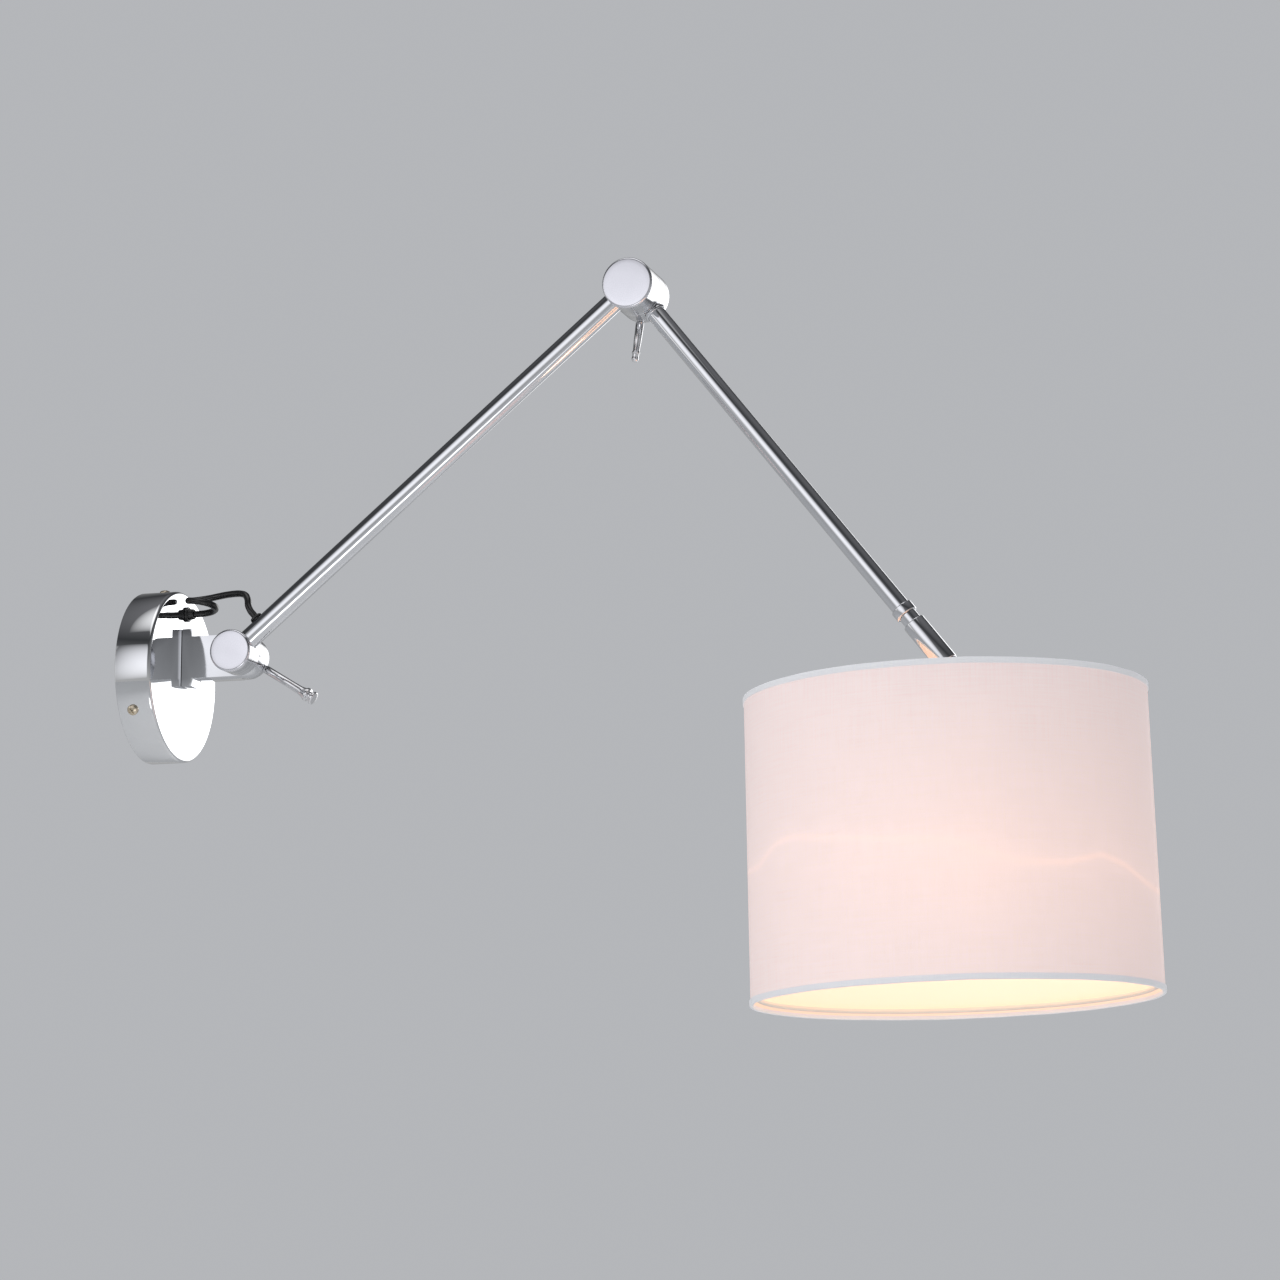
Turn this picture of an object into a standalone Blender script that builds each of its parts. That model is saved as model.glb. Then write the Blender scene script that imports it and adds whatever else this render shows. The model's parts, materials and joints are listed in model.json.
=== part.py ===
"""Swing arm wall sconce: a round wall canopy, two round arms with clamped knuckles, and a fabric drum shade.

Metres, +Z up, +X out of the wall. The origin is the centre of the wall plate's back face. Both arms move in
XZ planes, so every knuckle axis lies along Y. The side of the sconce towards -Y is called the near side.
"""

from math import cos, pi, radians, sin

import bmesh
import bpy
from mathutils import Matrix, Vector

# ---------------------------------------------------------------- driving dimensions

GAP = 0.0003  # between faces that touch, and all round a shank or spigot in its hole
SEGMENTS = 20  # round small parts
FINE_SEGMENTS = 36  # knuckles and canopy
SHADE_SEGMENTS = 56  # shade
ARC_STEPS = 2  # along each rounded edge
WELD = 0.00001  # points nearer than this are one
SMOOTH_BELOW = 40.0  # edges sharper than this angle stay sharp
SOFT_EDGE = 0.0005  # rounding of small turned edges
HEAD_ROUND = 0.0008  # rounding of screw heads and moulded edges
DRILL_REACH = 0.02  # how far side holes are cut outwards

# wall plate and canopy
CANOPY_RADIUS = 0.0563
CANOPY_DEPTH = 0.0246  # wall to face
CANOPY_WALL = 0.0012
CANOPY_EDGE = 0.0025  # rounding of the face's edge
PLATE_CLEARANCE = 0.0016  # between the plate and the canopy's inside
PLATE_RADIUS = CANOPY_RADIUS - CANOPY_WALL - PLATE_CLEARANCE
PLATE_THICKNESS = 0.002
PLATE_TAB_WIDTH = 0.010
PLATE_TAB_MARGIN = 0.0030  # tab beyond its screw hole
PLATE_TAB_THICKNESS = 0.0016
CABLE_HOLE_RADIUS = 0.008
CABLE_HOLE_DROP = 0.020
WALL_SCREW_SPREAD = 0.030  # from the centre to each wall screw hole
WALL_SCREW_HOLE_RADIUS = 0.0026
CANOPY_SCREW_ANGLES = (90.0, 210.0, 330.0)  # about +X, from +Y
CANOPY_SCREW_X = 0.0105
CANOPY_SCREW_HEAD_RADIUS = 0.0035
CANOPY_SCREW_HEAD_HEIGHT = 0.0024
SCREW_DOME_SHARE = 0.7  # of a domed head's height that is rounded
PLATE_TAB_LENGTH = CANOPY_SCREW_X + PLATE_TAB_MARGIN
M4_RADIUS = 0.0018
SLOT_WIDTH = 0.0008

# pivot bracket and base knuckle
PIVOT_STANDOFF = 0.0411  # canopy face to base axis
PIVOT_RISE = 0.0124  # base axis above the canopy's centre
FOOT_HEIGHT = 0.038
FOOT_THICKNESS = 0.0066
FOOT_SCREW_SPREAD = 0.009  # each way from the base axis height
FOOT_SCREW_RADIUS = 0.0022
FOOT_SCREW_LENGTH = 0.009
FOOT_SCREW_HEAD_RADIUS = 0.004
FOOT_SCREW_HEAD_HEIGHT = 0.003
BASE_RADIUS = 0.0139
BASE_SPLIT_MARGIN = 0.0013  # lower tube to the plane where the two base halves meet
BASE_FAR_Y = 0.0145
BASE_NUT_THICKNESS = 0.0070
BASE_AXLE_RADIUS = 0.0040
BASE_AXLE_HEAD_RADIUS = 0.0065
BASE_AXLE_HEAD_THICKNESS = 0.0042
NEAR_FACE_MARGIN = 0.0036  # lower tube to the covers' outer faces
COVER_THICKNESS = 0.0022
COVER_EDGE = 0.0016
COVER_SPIGOT = 0.0020
SEAM_EDGE = 0.0003  # small chamfer along each seam
KNUCKLE_WALL = 0.0047
KNUCKLE_FLOOR = 0.0038  # between a knuckle's hollow and its split face
WASHER_RECESS = 0.0008
WASHER_THICKNESS = 0.0005
WASHER_OVERLAP = 0.0012  # recess beyond a knuckle's hollow
NUT_FLOOR_SHARE = 0.38  # of a clamp nut's thickness that closes its bore
TUBE_LANDING = 0.0041  # how deep a tube goes into a knuckle's round side

# arms
LOWER_ARM_LENGTH = 0.3513  # base axis to elbow axis
LOWER_ARM_ELEVATION = 40.0
LOWER_ARM_Y = -0.0121
LOWER_TUBE_RADIUS = 0.0068
UPPER_ARM_ELEVATION = -51.6
UPPER_ARM_Y = 0.0052
UPPER_TUBE_RADIUS = 0.00605
TUBE_WALL = 0.0010
ELBOW_RADIUS = 0.0167
ELBOW_SPLIT_MARGIN = 0.00115  # upper tube to the plane where the two elbow halves meet
ELBOW_FAR_Y = 0.0200
ELBOW_NUT_THICKNESS = 0.0070
NIPPLE_RADIUS = 0.0050
NIPPLE_BORE = 0.0034
NIPPLE_HEAD_RADIUS = 0.0080
NIPPLE_HEAD_THICKNESS = 0.0025
FERRULE_WALL = 0.0009
FERRULE_LENGTH = 0.0020
FERRULE_EDGE = 0.0004

# clamp levers, lengths from the nut's round side
LEVER_RADIUS = 0.0027
LEVER_ROOT_RADIUS = 0.0019
LEVER_ROOT_LENGTH = 0.0075
BASE_LEVER_LENGTH = 0.0410
BASE_LEVER_ELEVATION = -32.0
LEVER_COLLAR_RADIUS = 0.0046
LEVER_BUTTON_RADIUS = 0.0044
LEVER_GROOVE_RADIUS = 0.0028
LEVER_BUTTON_LENGTH = 0.0020
LEVER_GROOVE_LENGTH = 0.0026
LEVER_COLLAR_LENGTH = 0.0018
LEVER_FLARE_LENGTH = 0.0022
ELBOW_LEVER_LENGTH = 0.0268
ELBOW_LEVER_ELEVATION = -98.0
ELBOW_LEVER_TIP_RADIUS = 0.0021
ELBOW_LEVER_TIP_LENGTH = 0.0046
ELBOW_LEVER_BEAD_SLOPE = 0.0008
ELBOW_LEVER_BEAD_WIDTH = 0.0014

# swivel at the end of the upper arm, distances from the elbow axis
RING_START = 0.2758
RING_LENGTH = 0.0062
RING_WALL = 0.0009
STEM_RADIUS = 0.0058
STEM_BARE_LENGTH = 0.0060
STEM_SPIGOT_RADIUS = 0.0046
STEM_SPIGOT_LENGTH = 0.012
STEM_TAIL_LENGTH = 0.012
STEM_BORE = 0.0030
SLEEVE_RADIUS = 0.0074
SLEEVE_LENGTH = 0.0337
SET_SCREW_RADIUS = 0.0015
SET_SCREW_DISTANCE = 0.006  # from the sleeve's upper end
HINGE_DROP = 0.0117  # sleeve's end to the hinge
FORK_RADIUS = 0.0070
FORK_SLOT = 0.0050
FORK_STUD_RADIUS = 0.0031
SLEEVE_BORE = FORK_STUD_RADIUS + GAP
FORK_TOP_ROUND = 0.0015
FORK_STUD_LENGTH = 0.010
HINGE_BOLT_RADIUS = 0.0020
HINGE_HEAD_RADIUS = 0.0038
HINGE_HEAD_THICKNESS = 0.0024
HINGE_BOLT_TAIL = 0.0015  # beyond the thumb nut
THUMB_NUT_RADIUS = 0.0058
THUMB_NUT_THICKNESS = 0.0050

# lampholder and shade, heights from the shade hinge
SHADE_TILT = -1.63  # shade axis from upright, about +Y
SHADE_AXIS_X = -0.0093  # shade axis from the hinge
TONGUE_RADIUS = 0.0055
PLATFORM_TOP = -0.0095
PLATFORM_THICKNESS = 0.0030
PLATFORM_RADIUS = 0.0095
HOLDER_RADIUS = 0.0195
HOLDER_CAP_HEIGHT = 0.0150
HOLDER_CAP_ROOF = 0.0070
HOLDER_SHELL_HEIGHT = 0.0340
HOLDER_SHELL_ROOF = 0.0050
HOLDER_CAP_WALL = 0.0018
HOLDER_CAP_ROUND = 0.0040
HOLDER_MOUTH_ROUND = 0.0010
BRACKET_SCREW_SHARE = 0.6  # of the holder cap's roof that the bracket screw goes into
RING_NUT_WALL = 0.0050
RING_NUT_RADIUS = HOLDER_RADIUS + RING_NUT_WALL
RING_NUT_HEIGHT = 0.0045
RING_NUT_DROP = 0.0120  # holder shell's top to the upper ring nut
HUB_THICKNESS = 0.0016
HUB_MARGIN = 0.0015  # hub beyond the ring nuts
HUB_RADIUS = RING_NUT_RADIUS + HUB_MARGIN
SHADE_TOP = -0.0094
SHADE_HEIGHT = 0.1917
SHADE_TOP_RADIUS = 0.1250
SHADE_FLARE = 0.0019  # bottom radius beyond the top radius
SHADE_WALL = 0.0010
TRIM_WALL = 0.0006
TRIM_HEIGHT = 0.0045
TRIM_INSIDE_SHARE = 0.45  # of the trim's height that is folded inside
TRIM_ROUND_SHARE = 0.8  # of the trim's thickness
WIRE_RADIUS = 0.0016
WIRE_STEPS = 7  # round a ring's wire
SPOKE_OUTER_RUN = 0.0060  # a spoke's two bends, from its ends
SPOKE_OUTER_DROP = 0.0010
SPOKE_INNER_RUN = 0.0120
SPOKE_INNER_RISE = 0.0015
SPOKE_HOLD = 0.0022  # spoke into the hub's edge
SPOKE_ANGLES = (0.0, 120.0, 240.0)  # none of them lies under the arm
BULB_CAP_RADIUS = 0.0132
BULB_CAP_HEIGHT = 0.0260
BULB_CAP_ROOF = 0.0050
BULB_CAP_WALL = 0.0012
BULB_CAP_CLEARANCE = 0.0007  # to the holder's bore
HOLDER_BORE = BULB_CAP_RADIUS + BULB_CAP_CLEARANCE
BULB_CONTACT_RADIUS = 0.0045
BULB_NECK_STEP = 0.0007
BULB_NECK_RADIUS = BULB_CAP_RADIUS - BULB_NECK_STEP
BULB_NECK_LENGTH = 0.0100
BULB_SHOULDER_ANGLE = 38.0  # above the globe's middle
BULB_SHOULDER_INSET = 0.0015
BULB_SHOULDER_DROP = 0.0010
BULB_STEPS = 10
BULB_WALL = 0.0010
BULB_RADIUS = 0.0300
BULB_LENGTH = 0.0800  # below the bulb's cap

# cord
CORD_RADIUS = 0.0022
CORD_SAMPLES = 8  # points read between two route points
GROMMET_Y = 0.0040
GROMMET_RISE = 0.0425
GROMMET_FLANGE = 0.0015
GROMMET_NECK_RADIUS = CORD_RADIUS + 0.0016
GROMMET_NOSE_RADIUS = CORD_RADIUS + 0.0012
GROMMET_FLANGE_RADIUS = CORD_RADIUS + 0.0028
GROMMET_TAPER = 0.0004
GROMMET_NOSE = 0.0055
CORD_HOLE_DISTANCE = 0.0253  # along the lower arm from the base axis
CORD_SEAT = 0.0007  # cord's end above the lower tube's side, in the bushing
CORD_END = (-LOWER_TUBE_RADIUS - CORD_SEAT, LOWER_ARM_Y, CORD_HOLE_DISTANCE)  # in the lower arm's frame
BUSHING_NECK_RADIUS = CORD_RADIUS + 0.0010
BUSHING_FLANGE_RADIUS = CORD_RADIUS + 0.0020
BUSHING_TAIL = 0.0008  # inside the tube
BUSHING_FLANGE = 0.0014
CORD_ROUTE = (  # from the grommet's mouth: a flat loop before the canopy, then over to the lower arm
    (0.0003, 0.0000, 0.0000),
    (0.0039, 0.0000, 0.0000),
    (0.0084, -0.0003, 0.0002),
    (0.0135, -0.0019, 0.0008),
    (0.0169, -0.0054, 0.0016),
    (0.0181, -0.0100, 0.0025),
    (0.0163, -0.0151, 0.0035),
    (0.0119, -0.0184, 0.0044),
    (0.0065, -0.0184, 0.0053),
    (0.0020, -0.0153, 0.0062),
    (0.0001, -0.0102, 0.0071),
    (0.0017, -0.0052, 0.0081),
    (0.0061, -0.0022, 0.0091),
    (0.0119, -0.0018, 0.0098),
    (0.0179, -0.0030, 0.0104),
    (0.0244, -0.0052, 0.0107),
    (0.0309, -0.0076, 0.0106),
    (0.0364, -0.0098, 0.0100),
    (0.0406, -0.0120, 0.0083),
    (0.0429, -0.0138, 0.0050),
    (0.0439, -0.0152, 0.0007),
    (0.0459, -0.0161, -0.0030),
    (0.0479, -0.0161, -0.0054),
    (0.0502, -0.0161, -0.0081),
)

# small screws and blocks inside the canopy
TERMINAL_SIZE = (0.012, 0.026, 0.012)
TERMINAL_CENTRE_Y = -0.022
TERMINAL_CENTRE_Z = -0.034
TERMINAL_WAYS = 3
TERMINAL_HOLE_RADIUS = 0.0020
EARTH_SCREW_PLACE = (0.020, -0.030)
EARTH_SCREW_HEAD_RADIUS = 0.0040
EARTH_SCREW_HEAD_HEIGHT = 0.0026

# ---------------------------------------------------------------- derived places

NEAR_FACE_Y = LOWER_ARM_Y - LOWER_TUBE_RADIUS - NEAR_FACE_MARGIN
BASE_SPLIT_Y = LOWER_ARM_Y + LOWER_TUBE_RADIUS + BASE_SPLIT_MARGIN
ELBOW_SPLIT_Y = UPPER_ARM_Y - UPPER_TUBE_RADIUS - ELBOW_SPLIT_MARGIN
BASE_X = CANOPY_DEPTH + PIVOT_STANDOFF
BASE_AXIS = Vector((BASE_X, 0.0, PIVOT_RISE))
ALONG_X = (0.0, pi / 2, 0.0)
ALONG_Y = (-pi / 2, 0.0, 0.0)
TOWARDS_NEAR = (pi / 2, 0.0, 0.0)
UPRIGHT = (0.0, 0.0, 0.0)
DOWNWARDS = (pi, 0.0, 0.0)
BACK_OF_ARM = (0.0, -pi / 2, 0.0)
STEM_START = RING_START + RING_LENGTH + GAP
SLEEVE_START = STEM_START + STEM_BARE_LENGTH + GAP
SLEEVE_END = SLEEVE_START + SLEEVE_LENGTH
HINGE_DISTANCE = SLEEVE_END + HINGE_DROP


def raised(elevation):
    """Rotation that points +Z along a direction in the XZ plane, this many degrees above +X."""
    return (0.0, pi / 2 - radians(elevation), 0.0)


# ---------------------------------------------------------------- scene, collections and materials

for old in list(bpy.data.objects):
    bpy.data.objects.remove(old, do_unlink=True)

PARTS = bpy.data.collections.new("swing_arm_wall_sconce")
CUTTERS = bpy.data.collections.new("cutters")
bpy.context.scene.collection.children.link(PARTS)
bpy.context.scene.collection.children.link(CUTTERS)
CUTTERS.hide_render = True


def finish(name, colour, roughness, metallic):
    material = bpy.data.materials.new(name)
    material.use_nodes = True
    shader = material.node_tree.nodes["Principled BSDF"]
    shader.inputs["Base Color"].default_value = (*colour, 1.0)
    shader.inputs["Roughness"].default_value = roughness
    shader.inputs["Metallic"].default_value = metallic
    return material


CHROME = finish("chrome", (0.82, 0.83, 0.85), 0.05, 1.0)
STEEL = finish("zinc_steel", (0.60, 0.60, 0.58), 0.35, 1.0)
NICKEL = finish("nickel_screw", (0.72, 0.66, 0.55), 0.25, 1.0)
BRASS = finish("brass", (0.75, 0.58, 0.28), 0.30, 1.0)
BLACK = finish("black_flex", (0.012, 0.012, 0.013), 0.25, 0.0)
NYLON = finish("white_nylon", (0.80, 0.79, 0.74), 0.50, 0.0)
HOLDER = finish("lampholder_plastic", (0.88, 0.87, 0.84), 0.35, 0.0)
FABRIC = finish("shade_fabric", (0.92, 0.86, 0.84), 0.85, 0.0)
TRIM = finish("shade_trim", (0.86, 0.89, 0.93), 0.80, 0.0)
WIRE = finish("painted_wire", (0.88, 0.88, 0.86), 0.45, 0.0)
GLASS = finish("opal_glass", (0.98, 0.95, 0.88), 0.20, 0.0)


# ---------------------------------------------------------------- modelling helpers


def frame(name, location, rotation, parent=None):
    """An empty on a joint's axis. location and rotation are in its parent's space."""
    empty = bpy.data.objects.new(name, None)
    PARTS.objects.link(empty)
    empty.parent = parent
    empty.location = location
    empty.rotation_euler = rotation
    return empty


def place(obj, parent, location, rotation, material=None):
    """Puts an object in the parts, or in the cutters when it has no material."""
    (PARTS if material else CUTTERS).objects.link(obj)
    obj.parent = parent
    obj.location = location
    obj.rotation_euler = rotation
    if material:
        obj.data.materials.append(material)
    else:
        obj.hide_render = True
        obj.display_type = "WIRE"
    return obj


def turned(name, profile, parent, location, rotation, material=None, segments=SEGMENTS):
    """A closed profile of (radius, height) points turned round its own Z. It runs down its outer side.

    A stretch of it that lies on the axis makes no face.
    """
    count = len(profile)
    pairs = [(i, (i + 1) % count) for i in range(count)]
    edges = [(a, b) for a, b in pairs if profile[a][0] > 0.0 or profile[b][0] > 0.0]
    mesh = bpy.data.meshes.new(name)
    mesh.from_pydata([(radius, 0.0, height) for radius, height in profile], edges, [])
    obj = place(bpy.data.objects.new(name, mesh), parent, location, rotation, material)
    screw = obj.modifiers.new("turn", "SCREW")
    screw.steps = segments
    screw.render_steps = segments
    screw.use_merge_vertices = True
    screw.merge_threshold = WELD
    screw.use_smooth_shade = True
    return obj


def arc(centre, radius, start, end, steps=ARC_STEPS):
    """Points of an arc in the profile plane, angles in degrees from the radius direction."""
    angles = [radians(start + (end - start) * i / steps) for i in range(steps + 1)]
    return [(centre[0] + radius * cos(a), centre[1] + radius * sin(a)) for a in angles]


def edge(radius, height, top, size):
    """The rounded outer edge of a turned part at this height, or a plain corner when size is 0."""
    if not size:
        return [(radius, height)]
    if top:
        return arc((radius - size, height - size), size, 90.0, 0.0)
    return arc((radius - size, height + size), size, 0.0, -90.0)


def rod_profile(radius, low, high, low_edge=0.0, high_edge=0.0):
    side = edge(radius, high, True, high_edge) + edge(radius, low, False, low_edge)
    return [(0.0, high), *side, (0.0, low)]


def ring_profile(inner, outer, low, high, low_edge=0.0, high_edge=0.0):
    side = edge(outer, high, True, high_edge) + edge(outer, low, False, low_edge)
    return [*side, (inner, low), (inner, high)]


def block(name, size, parent, location, rotation, material=None, bevel=0.0):
    """A box of this size centred at the location, with its edges rounded by bevel."""
    bpy.ops.mesh.primitive_cube_add(size=1.0)
    obj = bpy.context.object
    obj.name = name
    obj.data.name = name
    obj.data.transform(Matrix.Diagonal((*size, 1.0)))
    for collection in list(obj.users_collection):
        collection.objects.unlink(obj)
    place(obj, parent, location, rotation, material)
    if bevel:
        rounding = obj.modifiers.new("edges", "BEVEL")
        rounding.width = bevel
        rounding.segments = 2
    return obj


def meshed(curve_object):
    """The mesh of a curve, so that it can be cut or joined."""
    bpy.context.view_layer.update()
    graph = bpy.context.evaluated_depsgraph_get()
    return bpy.data.meshes.new_from_object(curve_object.evaluated_get(graph))


def welded(mesh):
    """Joins a curve mesh's ends into one closed body, with its sharp edges marked."""
    form = bmesh.new()
    form.from_mesh(mesh)
    bmesh.ops.remove_doubles(form, verts=form.verts, dist=WELD)
    bmesh.ops.recalc_face_normals(form, faces=form.faces)
    form.to_mesh(mesh)
    form.free()
    mesh.materials.clear()
    mesh.shade_smooth()
    mesh.set_sharp_from_angle(angle=radians(SMOOTH_BELOW))


def flat_outline(name, points, thickness, parent, location, rotation, material=None):
    """A plate of this outline in its own XY plane, centred on that plane."""
    curve = bpy.data.curves.new(name, "CURVE")
    curve.dimensions = "2D"
    curve.fill_mode = "BOTH"
    curve.extrude = thickness / 2
    spline = curve.splines.new("POLY")
    spline.points.add(len(points) - 1)
    for point, (x, y) in zip(spline.points, points):
        point.co = (x, y, 0.0, 1.0)
    spline.use_cyclic_u = True
    guide = bpy.data.objects.new(name + "_outline", curve)
    CUTTERS.objects.link(guide)
    mesh = meshed(guide)
    bpy.data.objects.remove(guide, do_unlink=True)
    welded(mesh)
    return place(bpy.data.objects.new(name, mesh), parent, location, rotation, material)


def wire(name, points, radius, parent, material=None, sides=3):
    """A round wire through these points, as a mesh with closed ends."""
    curve = bpy.data.curves.new(name, "CURVE")
    curve.dimensions = "3D"
    curve.bevel_depth = radius
    curve.bevel_resolution = sides
    curve.use_fill_caps = True
    spline = curve.splines.new("POLY")
    spline.points.add(len(points) - 1)
    for point, place_at in zip(spline.points, points):
        point.co = (*place_at, 1.0)
    guide = bpy.data.objects.new(name + "_path", curve)
    CUTTERS.objects.link(guide)
    mesh = meshed(guide)
    bpy.data.objects.remove(guide, do_unlink=True)
    welded(mesh)
    return place(bpy.data.objects.new(name, mesh), parent, (0.0, 0.0, 0.0), UPRIGHT, material)


def combine(target, other, operation):
    step = target.modifiers.new(other.name, "BOOLEAN")
    step.operation = operation
    step.solver = "EXACT"
    step.object = other
    return target


def cut(target, cutter):
    return combine(target, cutter, "DIFFERENCE")


def join(target, other):
    return combine(target, other, "UNION")


def drill(target, name, radius, low, high, parent, location, rotation, segments=SEGMENTS // 2):
    """Cuts a round hole from low to high along the rotated Z axis."""
    bit = turned(name, rod_profile(radius, low, high), parent, location, rotation, None, segments)
    return cut(target, bit)


# ---------------------------------------------------------------- joint frames

base_frame = frame("base_axis", BASE_AXIS, raised(LOWER_ARM_ELEVATION))
elbow_turn = radians(LOWER_ARM_ELEVATION - UPPER_ARM_ELEVATION)
elbow_frame = frame("elbow_axis", (0.0, 0.0, LOWER_ARM_LENGTH), (0.0, elbow_turn, 0.0), base_frame)
head_frame = frame("swivel_axis", (0.0, UPPER_ARM_Y, 0.0), UPRIGHT, elbow_frame)
shade_turn = radians(SHADE_TILT) - raised(UPPER_ARM_ELEVATION)[1]
shade_frame = frame("shade_axis", (0.0, 0.0, HINGE_DISTANCE), (0.0, shade_turn, 0.0), head_frame)


# ---------------------------------------------------------------- wall plate, canopy and what they hold


def around_x(angle, x, radius):
    """Location and rotation of something whose Z points outwards from the canopy's axis at this angle."""
    turn = radians(angle)
    return (x, radius * cos(turn), radius * sin(turn)), (turn - pi / 2, 0.0, 0.0)


def make_wall_plate():
    disc = rod_profile(PLATE_RADIUS, 0.0, PLATE_THICKNESS)
    plate = turned("wall_plate", disc, None, (0, 0, 0), ALONG_X, STEEL, FINE_SEGMENTS)
    tab_radius = PLATE_RADIUS - PLATE_TAB_THICKNESS / 2
    for number, angle in enumerate(CANOPY_SCREW_ANGLES, 1):
        middle = PLATE_TAB_LENGTH / 2 + PLATE_THICKNESS / 4
        spot, turn = around_x(angle, middle, tab_radius)
        size = (PLATE_TAB_LENGTH, PLATE_TAB_WIDTH, PLATE_TAB_THICKNESS)
        join(plate, block(f"plate_tab_{number}", size, None, spot, turn))
        spot, turn = around_x(angle, CANOPY_SCREW_X, tab_radius)
        reach = PLATE_TAB_THICKNESS * 2
        drill(plate, f"plate_tab_hole_{number}", M4_RADIUS + GAP, -reach, reach, None, spot, turn)
    through = PLATE_THICKNESS * 2
    drill(plate, "cable_hole", CABLE_HOLE_RADIUS, -through, through, None, (0, 0, -CABLE_HOLE_DROP), ALONG_X)
    for side in (-1, 1):
        spot = (0, side * WALL_SCREW_SPREAD, 0)
        name = f"wall_screw_hole_{side}"
        drill(plate, name, WALL_SCREW_HOLE_RADIUS, -through, through, None, spot, ALONG_X)
    spot = (0, *EARTH_SCREW_PLACE)
    drill(plate, "earth_hole", M4_RADIUS + GAP, -through, through, None, spot, ALONG_X)


def make_canopy():
    inside = CANOPY_DEPTH - CANOPY_WALL
    inner_corner = CANOPY_RADIUS - CANOPY_EDGE
    profile = [
        (0.0, CANOPY_DEPTH),
        *edge(CANOPY_RADIUS, CANOPY_DEPTH, True, CANOPY_EDGE),
        (CANOPY_RADIUS, GAP),
        (CANOPY_RADIUS - CANOPY_WALL, GAP),
        *arc((inner_corner, CANOPY_DEPTH - CANOPY_EDGE), CANOPY_EDGE - CANOPY_WALL, 0.0, 90.0),
        (0.0, inside),
    ]
    canopy = turned("canopy", profile, None, (0, 0, 0), ALONG_X, CHROME, FINE_SEGMENTS)
    for number, angle in enumerate(CANOPY_SCREW_ANGLES, 1):
        spot, turn = around_x(angle, CANOPY_SCREW_X, CANOPY_RADIUS)
        reach = CANOPY_WALL * 2
        drill(canopy, f"canopy_hole_{number}", M4_RADIUS + GAP, -reach, reach, None, spot, turn)
    for level in (-1, 1):
        spot = (inside, bracket_middle_y(), PIVOT_RISE + level * FOOT_SCREW_SPREAD)
        reach = CANOPY_WALL * 2
        drill(canopy, f"foot_hole_{level}", FOOT_SCREW_RADIUS + GAP, -reach, reach, None, spot, ALONG_X)
    spot = (inside, GROMMET_Y, GROMMET_RISE)
    reach = CANOPY_WALL * 2
    drill(canopy, "cord_hole", GROMMET_NECK_RADIUS + GAP, -reach, reach, None, spot, ALONG_X)


def make_canopy_screws():
    seat = CANOPY_RADIUS + GAP
    tail = PLATE_RADIUS - PLATE_TAB_THICKNESS - seat - GAP * 4
    height = CANOPY_SCREW_HEAD_HEIGHT
    for number, angle in enumerate(CANOPY_SCREW_ANGLES, 1):
        spot, turn = around_x(angle, CANOPY_SCREW_X, seat)
        profile = [
            (0.0, height),
            *edge(CANOPY_SCREW_HEAD_RADIUS, height, True, height * SCREW_DOME_SHARE),
            (CANOPY_SCREW_HEAD_RADIUS, 0.0),
            (M4_RADIUS, 0.0),
            (M4_RADIUS, tail),
            (0.0, tail),
        ]
        screw = turned(f"canopy_screw_{number}", profile, None, spot, turn, NICKEL, SEGMENTS // 2)
        spot, turn = around_x(angle, CANOPY_SCREW_X, seat + height)
        slot = (SLOT_WIDTH, CANOPY_SCREW_HEAD_RADIUS * 3, height)
        cut(screw, block(f"screw_slot_{number}", slot, None, spot, turn))


def make_terminal_block():
    deep = TERMINAL_SIZE[0]
    spot = (PLATE_THICKNESS + GAP + deep / 2, TERMINAL_CENTRE_Y, TERMINAL_CENTRE_Z)
    body = block("terminal_block", TERMINAL_SIZE, None, spot, UPRIGHT, NYLON, HEAD_ROUND)
    pitch = TERMINAL_SIZE[1] / TERMINAL_WAYS
    for way in range(TERMINAL_WAYS):
        y = TERMINAL_CENTRE_Y + (way - (TERMINAL_WAYS - 1) / 2) * pitch
        hole = (spot[0] + deep / 2, y, TERMINAL_CENTRE_Z)
        drill(body, f"terminal_hole_{way}", TERMINAL_HOLE_RADIUS, -deep / 2, deep / 2, None, hole, ALONG_X)


def make_earth_screw():
    head = PLATE_THICKNESS + GAP
    profile = [
        (0.0, head + EARTH_SCREW_HEAD_HEIGHT),
        (EARTH_SCREW_HEAD_RADIUS, head + EARTH_SCREW_HEAD_HEIGHT),
        (EARTH_SCREW_HEAD_RADIUS, head),
        (M4_RADIUS, head),
        (M4_RADIUS, GAP),
        (0.0, GAP),
    ]
    turned("earth_screw", profile, None, (0, *EARTH_SCREW_PLACE), ALONG_X, BRASS, SEGMENTS // 2)


def bracket_middle_y():
    return (BASE_SPLIT_Y + GAP / 2 + BASE_FAR_Y) / 2


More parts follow.
